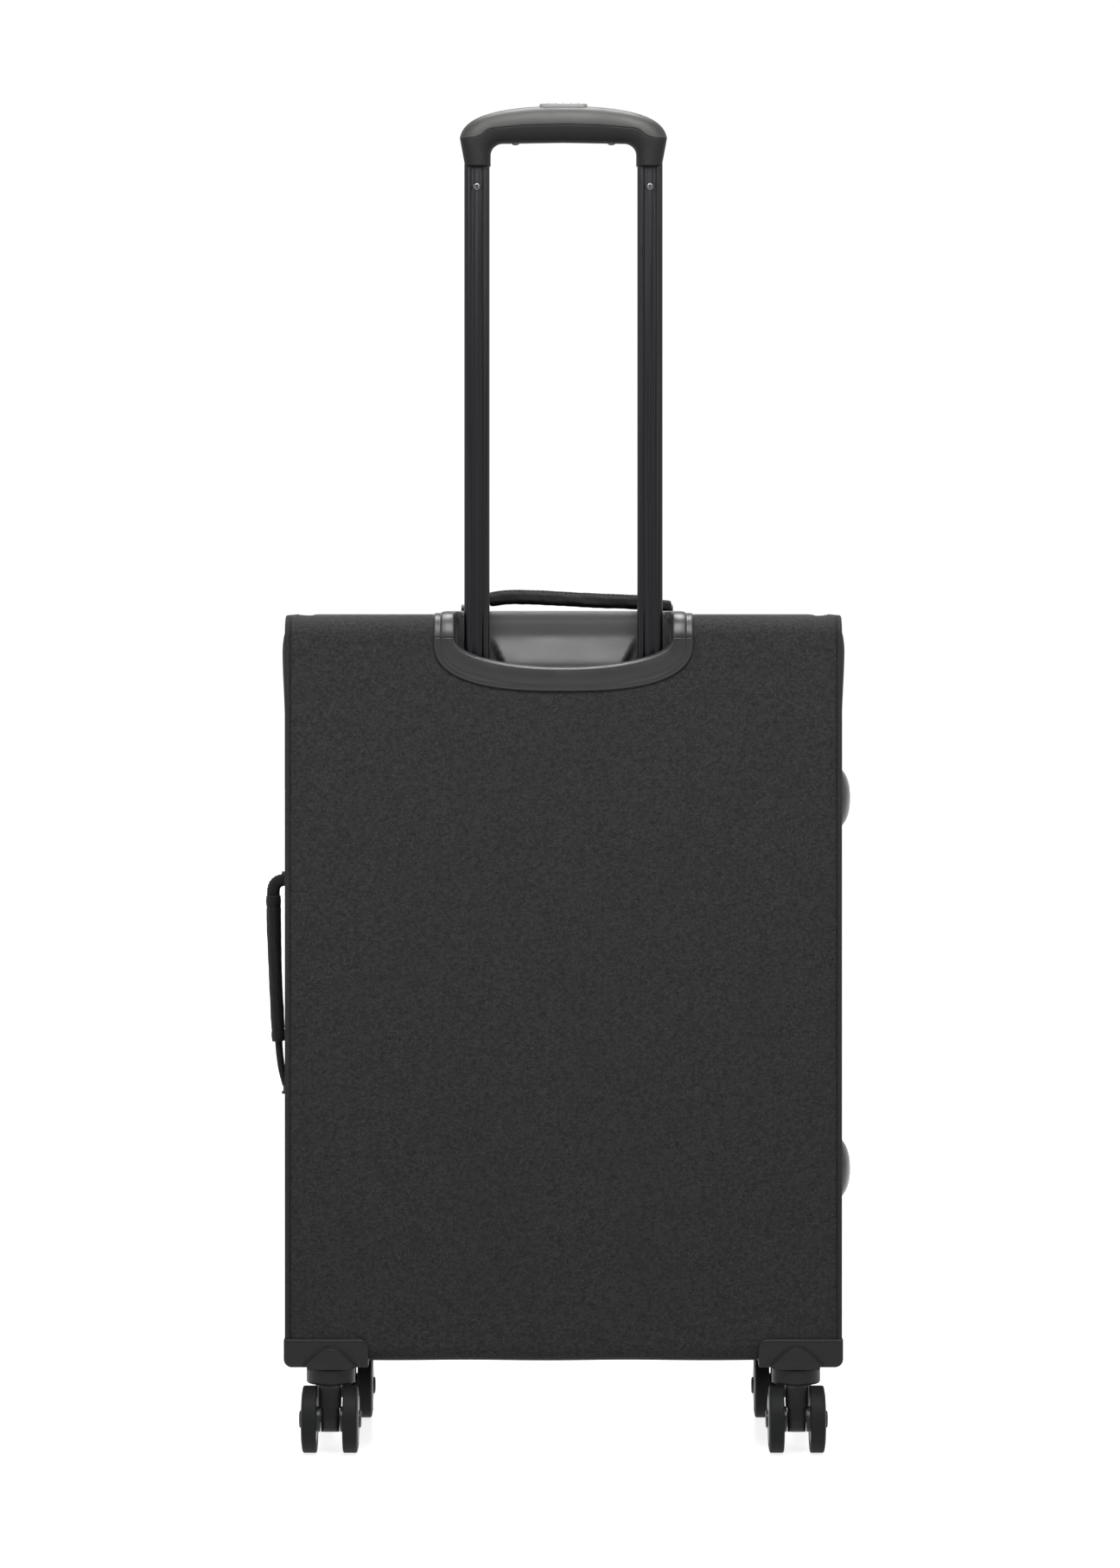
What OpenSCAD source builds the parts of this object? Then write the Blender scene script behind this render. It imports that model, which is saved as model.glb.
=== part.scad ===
// Softside upright suitcase: fabric case, telescopic trolley handle, carry handles, four twin-wheel casters.
// Frame: +Z up, the back panel faces -Y, the side studs face +X.
// The origin is on the floor, midway between the four caster swivels.

/* [Body] */
// Width over the two side panels
case_w = 437; // [380:1:520]
// Height of the fabric body, without the casters
case_h = 586; // [500:1:700]
// Height of the body's underside above the floor
case_z = 74; // [74:1:90]
// Depth of the main compartment, from the back panel to the main zip
main_d = 196; // [160:1:240]
// Depth of the lid's rim
lid_d = 20; // [14:1:40]
// Thickness of the back, top and bottom walls
wrap_wall = 4; // [3:0.5:6]
// Thickness of the side panels
side_wall = 5; // [4:0.5:7]
// Radius of the bend from the back panel to the top
bend_top_r = 18; // [12:1:30]
// Radius of the bend from the back panel to the bottom
bend_bottom_r = 11; // [8:1:16]
// Radius of the lid's corners
lid_corner_r = 16; // [8:1:30]
// Diameter of the edge piping
piping_d = 4; // [3:0.5:6]

/* [Pockets] */
// Width of both front pockets
pocket_w = 376; // [280:1:376]
// Height of the lower pocket
lower_pocket_h = 300; // [220:1:320]
// Height of the upper pocket
upper_pocket_h = 150; // [100:1:160]
// How far the lower pocket stands out from the lid
lower_pocket_d = 28; // [16:1:36]
// How far the upper pocket stands out from the lid
upper_pocket_d = 20; // [14:1:28]
// Wall of the lid and the pockets
lid_wall = 2.5; // [2:0.25:4]

/* [Trolley] */
// Distance between the two tubes, centre to centre
tube_pitch = 137; // [120:1:150]
// Width of an inner tube
tube_w = 20; // [16:0.5:24]
// Depth of an inner tube
tube_t = 16; // [12:0.5:18]
// Wall of both tubes
tube_wall = 1.2; // [1:0.1:1.6]
// Clearance between the inner and the outer tube on each side
tube_gap = 0.7; // [0.4:0.1:1.2]
// How far the trolley handle extends
stroke = 400; // [300:5:400]
// Length of inner tube that stays in the case when it is extended
tube_overlap = 90; // [70:1:110]
// Depth of the grip, front to back
grip_t = 25; // [22:0.5:30]
// Height of the grip from its leg ends to its crown
grip_h = 46; // [42:1:50]
// Travel of the push button
button_travel = 5; // [3:0.5:5]

/* [Handle cup] */
// Width of the cup's mouth beyond the middle of a tube, on each side
cup_side = 16.5; // [14.5:0.5:24.5]
// Width of the bezel beyond the cup's mouth, on each side
bezel_side = 18; // [10:0.5:30]
// Depth of the cup, from the back panel inwards
cup_d = 46; // [44:1:56]
// Depth of the cup's floor below the case's top
cup_h = 48; // [48:1:60]
// How far the bezel stands proud of the fabric
bezel_t = 3; // [2:0.5:5]

/* [Casters] */
// Diameter of the wheels
wheel_d = 52.7; // [45:0.1:53]
// Width of one wheel at its hub
wheel_w = 12.8; // [10:0.1:15]
// Distance between the inner faces of a caster's two wheels
wheel_gap = 20.2; // [18:0.1:26]
// Distance from the swivel axis to the axle
caster_trail = 12; // [8:0.5:16]
// Distance from a rear swivel axis to the side of the case
rear_swivel_side = 34.5; // [32.5:0.5:68.5]
// Distance from a front swivel axis to the side of the case
front_swivel_side = 39.5; // [34.5:0.5:68.5]
// Distance from a rear swivel axis to the back panel
swivel_inset = 18; // [14:1:26]
// Distance from a front swivel axis to the front edge of the shell
front_swivel_inset = 22; // [8:1:48]
// Diameter of a caster's axle
axle_d = 5; // [4:0.5:6]
// Diameter of a caster's kingpin
kingpin_d = 8; // [6:0.5:9]

/* [Carry handles and studs] */
// Distance between the pivots of the top handle
top_handle_l = 166; // [140:1:200]
// Distance between the pivots of the side handle
side_handle_l = 174; // [150:1:220]
// Height of the side handle's middle above the floor
side_handle_z = 364; // [300:1:400]
// Thickness of the handle pads
pad_t = 11; // [9:0.5:14]
// Diameter of a side stud's dome
stud_d = 46.5; // [36:0.5:52]
// How far a stud's dome stands out from its flange
stud_h = 8.2; // [6:0.2:12]

/* [Hidden] */
$fn = 64;
eps = 0.01;

// Colours
fabric_c = [0.235, 0.235, 0.24];
trim_c = [0.16, 0.16, 0.165];
plastic_c = [0.21, 0.21, 0.215];
tube_c = [0.12, 0.12, 0.125];
steel_c = [0.62, 0.62, 0.64];
board_c = [0.45, 0.45, 0.46];
lining_c = [0.33, 0.34, 0.36];
wheel_c = [0.17, 0.17, 0.175];

// Planes of the body
half_w = case_w / 2;
inner_x = half_w - side_wall;
// Mouth of the handle cup, tied to the tubes, and its bezel
cup_w = tube_pitch + 2 * cup_side;
bezel_w = cup_w + 2 * bezel_side;
// Swivel axes, tied to the sides and the depth of the case
rear_swivel_x = case_w / 2 - rear_swivel_side;
front_swivel_x = case_w / 2 - front_swivel_side;
wheelbase = main_d - swivel_inset - front_swivel_inset;
back_y = -wheelbase / 2 - swivel_inset;
zip_y = back_y + main_d;
top_z = case_z + case_h;
inner_y = back_y + wrap_wall;
zip_tape = 14;
zip_gap = 0.5;
lid_y = zip_y + zip_gap;
lid_front_y = lid_y + lid_d;

// Trolley places
tube_x = tube_pitch / 2;
tube_y = back_y + 23;
outer_w = tube_w + 2 * tube_gap + 2 * tube_wall;
outer_t = tube_t + 2 * tube_gap + 2 * tube_wall;
cup_wall = 2;
cup_floor_z = top_z - cup_h;
cup_far_y = back_y + cup_d;
collar_t = 3;
grip_rest_gap = 1;
grip_z = cup_floor_z + collar_t + grip_rest_gap + stroke;
inner_tube_z = cup_floor_z - tube_overlap;
plug_l = 30;
tube_screw_z = grip_z - 16.4;
lock_z = inner_tube_z + 18;
lock_block_h = 40;
rod_d = 4;
rod_clear = 1;
pin_d = 6;
pin_clear = 0.1;
outer_tube_z = case_z + 12;

// Grip outline, measured from the leg ends
grip_half = 80.9;
leg_inner_x = 57.6;
leg_end_x = 78;
bar_under = 17;
crown_drop = 22;
crown_n = 3.1;
bar_cavity_z = 21;
bar_cavity_h = 12;
button_w = 38;
button_t = 13;
button_proud = 2.6;
fit_gap = 0.3;

// Caster places
wheel_r = wheel_d / 2;
axle_r = axle_d / 2;
bore_clear = 0.05;
hub_r = 10;
fork_w = 14.5;
fork_top_w = 17.4;
head_r = 19;
head_top_z = case_z - 8.4;
head_under_z = case_z - 20.4;
boss_z = case_z - 8;
vault_r = 22.4;
vault_z = case_z - 11.4;
vault_plan_r = 23.5;
skirt_t = 2.5;
side_skirt_t = 1.6;
skirt_h = 17;
housing_w = 67;
housing_t = 5;
housing_l = 62;
front_swivel_y = wheelbase / 2;

// Handle places
pivot_r = 2;
pivot_clear = 0.1;
top_handle_x = 3;
top_handle_y = back_y + 112;
top_pad_l = 132;
top_rise = 8;
side_handle_y = back_y + 98;
strap_w = 16;
strap_t = 2.4;
pad_w = 26;
eye_r = 3.3;
eye_l = 8;
pivot_lift = 5.5;
plate_t = 1.5;
stud_flange_r = 28;
stud_flange_t = 2;
stud_z = [219.6, 514.8];
stud_y = [back_y + 52, back_y + 140];

// Zip sliders
slider_l = 14;
slider_w = 11;
slider_t = 6;
puller_l = 34;
coil_r = 1.6;
slider_base_t = 2;
bridge_h = slider_t - 3;
bridge_z = slider_base_t + bridge_h / 2 - 0.3;
slider_lift = 0.9;
main_slider_z = [case_z + 466, case_z + 396];

// ---------- shared shapes ----------

// Rounded rectangle from squares and circles
module rounded_rect(w, h, r) {
    square([w - 2 * r, h], center = true);
    square([w, h - 2 * r], center = true);
    for (sx = [-1, 1], sy = [-1, 1])
        translate([sx * (w / 2 - r), sy * (h / 2 - r)])
            circle(r);
}

// Rounded rectangle in X and Z, carried from y0 to y1
module slab_y(w, h, r, y0, y1, z_mid) {
    translate([0, y1, z_mid])
        rotate([90, 0, 0])
            linear_extrude(height = y1 - y0)
                rounded_rect(w, h, r);
}

// A rectangular block from its two corners
module block(low, high) {
    translate(low)
        cube(high - low);
}

// Side outline of the case in Y and Z, drawn in by inset, with its two back bends
module side_outline(inset, front_y) {
    rt = bend_top_r - inset;
    rb = bend_bottom_r - inset;
    y0 = back_y + inset;
    z0 = case_z + inset;
    z1 = top_z - inset;
    translate([y0, z0 + rb])
        square([front_y - y0, z1 - rt - z0 - rb]);
    translate([y0 + rb, z0])
        square([front_y - y0 - rb, rb + eps]);
    translate([y0 + rt, z1 - rt - eps])
        square([front_y - y0 - rt, rt + eps]);
    translate([y0 + rb, z0 + rb])
        circle(rb);
    translate([y0 + rt, z1 - rt])
        circle(rt);
}

// The side outline carried from x0 to x1
module side_solid(inset, front_y, x0, x1) {
    translate([x0, 0, 0])
        rotate([90, 0, 90])
            linear_extrude(height = x1 - x0)
                side_outline(inset, front_y);
}

// Half of a superellipse: a and b are its half-axes and n its power
function bow(a, b, n, steps) = [
    for (i = [0:steps])
        let (t = 180 * i / steps, c = cos(t), s = sin(t))
            [a * sign(c) * pow(abs(c), 2 / n), -b * pow(abs(s), 2 / n)]
];

// Ring of points of a swept round bar: centre p, radius r, and a frame from direction d
function ring(p, d, r, sides) =
    let (
        up = abs(d[2]) > 0.9 ? [1, 0, 0] : [0, 0, 1],
        u = cross(d, up) / norm(cross(d, up)),
        v = cross(d, u) / norm(d)
    )
    [for (k = [0:sides - 1]) p + r * (cos(360 * k / sides) * u + sin(360 * k / sides) * v)];

// Round wire through a list of points, with flat ends
module wire(points, r, sides) {
    n = len(points);
    rings = [
        for (i = [0:n - 1])
            ring(points[i], points[min(i + 1, n - 1)] - points[max(i - 1, 0)], r, sides)
    ];
    walls = [
        for (i = [0:n - 2], k = [0:sides - 1], half = [0, 1])
            let (a = i * sides + k, b = i * sides + (k + 1) % sides)
                half ? [a, b, b + sides] : [a, b + sides, a + sides]
    ];
    polyhedron(
        points = [for (q = rings, p = q) p],
        faces = concat(
            [[for (k = [sides - 1:-1:0]) k]],
            walls,
            [[for (k = [0:sides - 1]) (n - 1) * sides + k]]
        )
    );
}

// ---------- case body ----------

// Space that the handle cup and its bezel take out of the fabric and boards
module cup_space(grow) {
    block(
        [-cup_w / 2 - cup_wall - grow, back_y - 1, cup_floor_z - cup_wall - grow],
        [cup_w / 2 + cup_wall + grow, cup_far_y + cup_wall + grow, top_z + 1]
    );
}

// Space that the four wheel housings take out of the body's bottom
module housing_space(grow) {
    for (c = casters())
        translate([c[0], c[1], 0])
            vault(grow);
}

module back_wrap() {
    color(fabric_c)
        difference() {
            side_solid(0, zip_y - zip_tape, -inner_x, inner_x);
            side_solid(wrap_wall, zip_y, -half_w, half_w);
            cup_space(0);
            housing_space(0.2);
        }
}

module side_panel(side) {
    x0 = side > 0 ? inner_x : -half_w;
    color(fabric_c)
        difference() {
            side_solid(0, zip_y - zip_tape, x0, x0 + side_wall);
            housing_space(0.2);
            for (z = stud_z, y = stud_y)
                if (side > 0)
                    translate([half_w, y, z])
                        rotate([0, 90, 0])
                            cylinder(r = 3, h = 4 * side_wall, center = true);
        }
}

module side_panel_left() {
    side_panel(-1);
}

module side_panel_right() {
    side_panel(1);
}

// One C of piping: along the top, down the back edge and along the bottom
module piping_loop(x) {
    rt = bend_top_r;
    rb = bend_bottom_r;
    r = piping_d / 2;
    front = zip_y - zip_tape;
    translate([x, back_y, case_z + rb])
        cylinder(r = r, h = case_h - rt - rb);
    for (z = [case_z, top_z])
        translate([x, back_y + (z > case_z ? rt : rb), z])
            rotate([-90, 0, 0])
                cylinder(r = r, h = front - back_y - (z > case_z ? rt : rb));
    translate([x, back_y + rt, top_z - rt])
        rotate([0, -90, 0])
            rotate([0, 0, 270])
                rotate_extrude(angle = 90)
                    translate([rt, 0])
                        circle(r);
    translate([x, back_y + rb, case_z + rb])
        rotate([0, -90, 0])
            rotate([0, 0, 180])
                rotate_extrude(angle = 90)
                    translate([rb, 0])
                        circle(r);
}

module edge_piping() {
    color(trim_c)
        difference() {
            for (side = [-1, 1])
                piping_loop(side * inner_x);
            // the cord sits half sunk in the seam between the panels
            difference() {
                side_solid(0, zip_y, -half_w, half_w);
                side_solid(wrap_wall, zip_y, -half_w, half_w);
            }
            housing_bodies();
        }
}

module back_board() {
    board_t = 2.5;
    color(board_c)
        difference() {
            block(
                [-inner_x + 2, inner_y + 0.2, outer_tube_z],
                [inner_x - 2, inner_y + 0.2 + board_t, top_z - bend_top_r]
            );
            cup_space(0.5);
        }
}

module bottom_tray() {
    tray_t = 3;
    rim = 26;
    z0 = case_z + wrap_wall + 0.2;
    y1 = zip_y - zip_tape - 6;
    color(plastic_c)
        difference() {
            union() {
                block([-inner_x + 1, inner_y + 8, z0], [inner_x - 1, y1, z0 + tray_t]);
                for (side = [-1, 1])
                    block(
                        [side > 0 ? inner_x - 3.5 : -inner_x + 1, inner_y + 8, z0],
                        [side > 0 ? inner_x - 1 : -inner_x + 3.5, y1, z0 + rim]
                    );
            }
            housing_space(0.4);
            bracket_space();
            // tray edge steps round the outer tubes
            for (side = [-1, 1])
                translate([side * tube_x, tube_y, z0])
                    cube([outer_w + 1, outer_t + 1, 20], center = true);
        }
}

// Spring-steel hoop that keeps the mouth of the case square
module frame_hoop() {
    r = 2;
    corner = 14;
    w = inner_x - 3;
    z0 = vault_z + vault_r + r + 1.2;
    z1 = top_z - wrap_wall - 3;
    y = zip_y - zip_tape - 3.2;
    color(steel_c)
        union() {
            for (side = [-1, 1])
                translate([side * w, y, z0 + corner])
                    cylinder(r = r, h = z1 - z0 - 2 * corner);
            for (z = [z0, z1])
                translate([-w + corner, y, z])
                    rotate([0, 90, 0])
                        cylinder(r = r, h = 2 * (w - corner));
            for (sx = [-1, 1], sz = [-1, 1])
                translate([sx * (w - corner), y, sz > 0 ? z1 - corner : z0 + corner])
                    rotate([90, 0, 0])
                        rotate([0, 0, sx > 0 ? (sz > 0 ? 0 : 270) : (sz > 0 ? 90 : 180)])
                            rotate_extrude(angle = 90)
                                translate([corner, 0])
                                    circle(r);
        }
}

lining_y = tube_y + outer_t / 2 + 3;

module lining() {
    t = 0.8;
    x1 = inner_x - 6;
    z0 = case_z + 26;
    z1 = top_z - wrap_wall - 6;
    y1 = zip_y - zip_tape - 8;
    shelf_z = cup_floor_z - cup_wall - 2;
    color(lining_c)
        difference() {
            block([-x1, lining_y, z0], [x1, y1, z1]);
            block([-x1 + t, lining_y + t, z0 + t], [x1 - t, y1 + 1, z1 - t]);
            // the cup hangs into the back of the compartment
            block(
                [-cup_w / 2 - 6, lining_y - 1, shelf_z],
                [cup_w / 2 + 6, cup_far_y + 6, z1 + 1]
            );
        }
}

// Two elastic straps that lie across the back of the compartment
module packing_straps() {
    y = lining_y + 1.2;
    x1 = inner_x - 8;
    color(trim_c)
        for (z = [case_z + 170, case_z + 360])
            difference() {
                block([-x1, y, z - 12.5], [x1, y + 1.5, z + 12.5]);
                block([-16, y - 1, z - 4], [16, y + 0.6, z + 4]);
            }
}

// ---------- zips, lid and pockets ----------

// Ring of zip tape round the mouth, open along the hinge side
module zip_ring(y0, y1, t, coil_y) {
    w = case_w - 2;
    h = case_h - 2;
    z_mid = case_z + case_h / 2;
    r = lid_corner_r;
    difference() {
        union() {
            difference() {
                slab_y(w, h, r, y0, y1, z_mid);
                slab_y(w - 2 * t, h - 2 * t, r - t, y0 - 1, y1 + 1, z_mid);
            }
            difference() {
                slab_y(w + 1.2, h + 1.2, r, coil_y, coil_y + coil_r, z_mid);
                slab_y(w - 2 * t, h - 2 * t, r - t, coil_y - 1, coil_y + coil_r + 1, z_mid);
            }
        }
        block(
            [half_w - 10, y0 - 2, case_z + lid_corner_r],
            [half_w + 2, y1 + 2, top_z - lid_corner_r]
        );
    }
}

module main_zip_shell() {
    color(trim_c)
        zip_ring(zip_y - zip_tape + 0.1, zip_y, 1.4, zip_y - coil_r);
}

module main_zip_lid() {
    color(trim_c)
        zip_ring(lid_y, lid_y + 9, 1.4, lid_y);
}

// Fabric strip that the lid folds on, down the stud side
module hinge_strip() {
    color(fabric_c)
        block(
            [half_w - side_wall, zip_y - zip_tape + 0.1, case_z + lid_corner_r],
            [half_w, zip_y, top_z - lid_corner_r]
        );
}

module lid_panel() {
    z_mid = case_z + case_h / 2;
    w = case_w - 2;
    h = case_h - 2;
    rim_y = lid_y + 9.1;
    color(fabric_c)
        difference() {
            union() {
                slab_y(w, h, lid_corner_r, rim_y, lid_front_y, z_mid);
                block([half_w - 23.9, lid_y, case_z + lid_corner_r],
                      [half_w - 1, rim_y + 1, top_z - lid_corner_r]);
            }
            slab_y(w - 2 * lid_wall, h - 2 * lid_wall, lid_corner_r - lid_wall,
                   lid_y - 1, lid_front_y - lid_wall, z_mid);
        }
}

// Inner face of the lid, with its gathered mesh pocket
module lid_lining() {
    z_mid = case_z + case_h / 2;
    y0 = lid_y + 10;
    w = case_w - 2 - 2 * lid_wall - 1;
    h = case_h - 2 - 2 * lid_wall - 1;
    r = lid_corner_r - lid_wall - 0.5;
    color(lining_c)
        union() {
            slab_y(w, h, r, y0, y0 + 1, z_mid);
            slab_y(w - 40, h * 0.62, r, y0 - 3, y0 + 0.5, z_mid - h * 0.12);
        }
}

lower_pocket_z = case_z + 34;
upper_pocket_z = lower_pocket_z + lower_pocket_h + 46;
pocket_y = lid_front_y + 0.05;
pocket_r = 26;

// A pocket is a shallow tray sewn to the lid, open towards it
module pocket(z0, h, d) {
    z_mid = z0 + h / 2;
    color(fabric_c)
        difference() {
            union() {
                slab_y(pocket_w, h, pocket_r, pocket_y, pocket_y + d - 6, z_mid);
                slab_y(pocket_w - 12, h - 12, pocket_r - 6, pocket_y, pocket_y + d, z_mid);
            }
            slab_y(pocket_w - 2 * lid_wall, h - 2 * lid_wall, pocket_r - lid_wall,
                   pocket_y - 1, pocket_y + d - 6 - lid_wall, z_mid);
            slab_y(pocket_w - 12 - 2 * lid_wall, h - 12 - 2 * lid_wall, pocket_r - 6 - lid_wall,
                   pocket_y - 1, pocket_y + d - lid_wall, z_mid);
        }
}

module lower_pocket() {
    pocket(lower_pocket_z, lower_pocket_h, lower_pocket_d);
}

module upper_pocket() {
    pocket(upper_pocket_z, upper_pocket_h, upper_pocket_d);
}

pocket_zip_half = pocket_w / 2 - pocket_r - 6;
pocket_zip_t = 1.6;

// Straight zip on the lid just above a pocket
module pocket_zip(z) {
    block(
        [-pocket_zip_half, pocket_y, z - 9],
        [pocket_zip_half, pocket_y + 1.2, z + 9]
    );
    block(
        [-pocket_zip_half + 4, pocket_y + 1.2 - eps, z - 2.5],
        [pocket_zip_half - 4, pocket_y + pocket_zip_t + 0.6, z + 2.5]
    );
}

lower_zip_z = lower_pocket_z + lower_pocket_h + 14;
upper_zip_z = upper_pocket_z + upper_pocket_h + 14;

module pocket_zips() {
    color(trim_c) {
        pocket_zip(lower_zip_z);
        pocket_zip(upper_zip_z);
    }
}

// Slider body: a waisted plate with a bridge that the puller hangs on, along local X, facing local Z
module slider_body() {
    bridge_w = 3;
    difference() {
        union() {
            linear_extrude(height = slider_base_t)
                polygon([
                    [-slider_l / 2, -slider_w * 0.3], [0, -slider_w * 0.36],
                    [slider_l / 2, -slider_w / 2], [slider_l / 2, slider_w / 2],
                    [0, slider_w * 0.36], [-slider_l / 2, slider_w * 0.3]
                ]);
            translate([0, 0, slider_base_t + bridge_h / 2 - eps])
                cube([slider_l - 5, bridge_w, bridge_h], center = true);
        }
        // eye for the puller's loop, across the bridge
        translate([0, 0, bridge_z])
            rotate([90, 0, 0])
                cylinder(r = 0.95, h = 3 * bridge_w, center = true);
    }
}

// Puller: an eye bar through the bridge and a flat tab, hanging along local -X from the pivot
module puller_body() {
    w = 7;
    t = 1.7;
    union() {
        rotate([90, 0, 0])
            cylinder(r = 0.8, h = w, center = true);
        for (side = [-1, 1])
            translate([-4, side * (w / 2 - 0.8), 0])
                cube([8, 1.6, t * 0.94], center = true);
        translate([-(8 + puller_l) / 2, 0, 0])
            cube([puller_l - 8, w, t], center = true);
    }
}

// Places a main zip slider on the -X side: local X runs up, local Z out of the side
module on_main_zip(z) {
    translate([-half_w - slider_lift, zip_y - 4.2, z])
        rotate([0, -90, 0])
            children();
}

// Places a pocket zip slider on the front: local X runs along +X, local Z out of the front
module on_pocket_zip(x, z) {
    translate([x, pocket_y + pocket_zip_t + slider_lift, z])
        rotate([-90, 0, 0])
            children();
}

module main_slider_upper() {
    color(steel_c)
        on_main_zip(main_slider_z[0])
            slider_body();
}

module main_slider_lower() {
    color(steel_c)
        on_main_zip(main_slider_z[1])
            mirror([1, 0, 0])
                slider_body();
}

module main_puller_upper() {
    color(steel_c)
        on_main_zip(main_slider_z[0])
            translate([0, 0, bridge_z])
                puller_body();
}

module main_puller_lower() {
    color(steel_c)
        on_main_zip(main_slider_z[1])
            translate([0, 0, bridge_z])
                puller_body();
}

slider_x = -pocket_zip_half + 18;

module lower_pocket_slider() {
    color(steel_c)
        on_pocket_zip(slider_x, lower_zip_z)
            slider_body();
}

module upper_pocket_slider() {
    color(steel_c)
        on_pocket_zip(slider_x, upper_zip_z)
            slider_body();
}

// The pocket pullers lie along their zips
module lower_pocket_puller() {
    color(steel_c)
        on_pocket_zip(slider_x, lower_zip_z)
            translate([0, 0, bridge_z])
                mirror([1, 0, 0])
                    puller_body();
}

module upper_pocket_puller() {
    color(steel_c)
        on_pocket_zip(slider_x, upper_zip_z)
            translate([0, 0, bridge_z])
                mirror([1, 0, 0])
                    puller_body();
}

// ---------- handle cup and bezel ----------

bow_n = 2.7;
bow_start_z = top_z - 18;
bow_drop = 42;
mouth_drop = 22;
bezel_far = 15;

// Outline of the bezel from behind, in X and Z
module bezel_outline() {
    polygon(concat(
        [[-bezel_w / 2, top_z + bezel_t + 1], [bezel_w / 2, top_z + bezel_t + 1]],
        [for (p = bow(bezel_w / 2, bow_drop, bow_n, 40)) [p[0], p[1] + bow_start_z]]
    ));
}

// Mouth of the cup from behind, in X and Z
module mouth_outline() {
    polygon(concat(
        [[-cup_w / 2, top_z + 20], [cup_w / 2, top_z + 20]],
        [for (p = bow(cup_w / 2, mouth_drop, 2, 32)) [p[0], p[1] + bow_start_z]]
    ));
}

// Carries an outline in X and Z from y0 to y1
module along_y(y0, y1) {
    translate([0, y1, 0])
        rotate([90, 0, 0])
            linear_extrude(height = y1 - y0)
                children();
}

module bezel() {
    far_y = cup_far_y + bezel_far;
    color(plastic_c)
        difference() {
            intersection() {
                side_solid(-bezel_t, far_y, -bezel_w / 2, bezel_w / 2);
                along_y(back_y - 2 * bezel_t, far_y)
                    bezel_outline();
            }
            side_solid(0, far_y + 1, -half_w, half_w);
            along_y(back_y - 3 * bezel_t, cup_far_y)
                mouth_outline();
        }
}

module handle_cup() {
    x1 = cup_w / 2;
    color(plastic_c)
        difference() {
            intersection() {
                block(
                    [-x1 - cup_wall, back_y, cup_floor_z - cup_wall],
                    [x1 + cup_wall, cup_far_y + cup_wall, top_z]
                );
                side_solid(0, zip_y, -half_w, half_w);
            }
            block([-x1, back_y + wrap_wall, cup_floor_z], [x1, cup_far_y, top_z + 1]);
            along_y(back_y - 1, cup_far_y)
                mouth_outline();
            for (side = [-1, 1])
                translate([side * tube_x, tube_y, cup_floor_z])
                    cube([outer_w + 0.4, outer_t + 0.4, 20], center = true);
        }
}

// ---------- trolley ----------

// Section of an inner tube: rounded box with a flute down its back face
module inner_section() {
    flute_w = 9.8;
    flute_d = 1.1;
    difference() {
        rounded_rect(tube_w, tube_t, 3);
        rounded_rect(tube_w - 2 * tube_wall, tube_t - 2 * tube_wall - 2 * flute_d, 2);
        translate([0, -tube_t / 2])
            square([flute_w, 2 * flute_d], center = true);
    }
}

module both_tubes() {
    for (side = [-1, 1])
        translate([side * tube_x, tube_y, 0])
            children();
}

module inner_tubes() {
    color(tube_c)
        difference() {
            both_tubes()
                translate([0, 0, inner_tube_z])
                    linear_extrude(height = grip_z - inner_tube_z)
                        inner_section();
            // screw holes in the back faces
            both_tubes()
                translate([0, 0, tube_screw_z])
                    rotate([90, 0, 0])
                        cylinder(r = 2.1, h = tube_t);
            // lock pin holes in the outer sides
            for (side = [-1, 1])
                translate([side * (tube_x + tube_w / 2), tube_y, lock_z])
                    rotate([0, 90, 0])
                        cylinder(r = pin_d / 2 + pin_clear, h = tube_w / 2, center = true);
        }
}

module outer_tubes() {
    color(steel_c)
        difference() {
            both_tubes()
                translate([0, 0, outer_tube_z])
                    linear_extrude(height = cup_floor_z - 0.4 - outer_tube_z)
                        difference() {
                            rounded_rect(outer_w, outer_t, 3.5);
                            rounded_rect(outer_w - 2 * tube_wall, outer_t - 2 * tube_wall, 2.5);
                        }
            // detent holes at the extended and the stowed height
            for (side = [-1, 1], z = [lock_z, lock_z - stroke])
                translate([side * (tube_x + outer_w / 2), tube_y, z])
                    rotate([0, 90, 0])
                        cylinder(r = pin_d / 2 + 0.3, h = 8, center = true);
        }
}

module guide_collars() {
    color(trim_c)
        both_tubes()
            translate([0, 0, cup_floor_z])
                linear_extrude(height = collar_t)
                    difference() {
                        rounded_rect(outer_w + 5, outer_t + 5, 4);
                        rounded_rect(tube_w + 0.8, tube_t + 0.8, 3.4);
                    }
}

bracket_x = tube_x + outer_w / 2 + 12;
bracket_z = case_z + wrap_wall + 3.6;

module bracket_space() {
    block(
        [-bracket_x - 0.4, tube_y - outer_t / 2 - 4.4, bracket_z - 4],
        [bracket_x + 0.4, tube_y + outer_t / 2 + 4.4, bracket_z + 30]
    );
}

// Moulded foot that ties the outer tubes to each other and to the tray
module tube_bracket() {
    h = 24;
    y0 = tube_y - outer_t / 2 - 3.4;
    y1 = tube_y + outer_t / 2 + 2.4;
    color(plastic_c)
        difference() {
            block([-bracket_x, y0, bracket_z], [bracket_x, y1, bracket_z + h]);
            both_tubes()
                translate([0, 0, outer_tube_z])
                    linear_extrude(height = 40)
                        rounded_rect(outer_w + 0.1, outer_t + 0.1, 3.5);
            block(
                [-tube_x + outer_w / 2 + 4, y0 - 1, bracket_z + 5],
                [tube_x - outer_w / 2 - 4, y1 + 1, bracket_z + h + 1]
            );
        }
}

// Top curve of the grip: height above the leg ends at a distance x from the middle
function crown(x) = grip_h - crown_drop * (1 - pow(1 - pow(abs(x) / grip_half, crown_n), 1 / crown_n));

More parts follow.
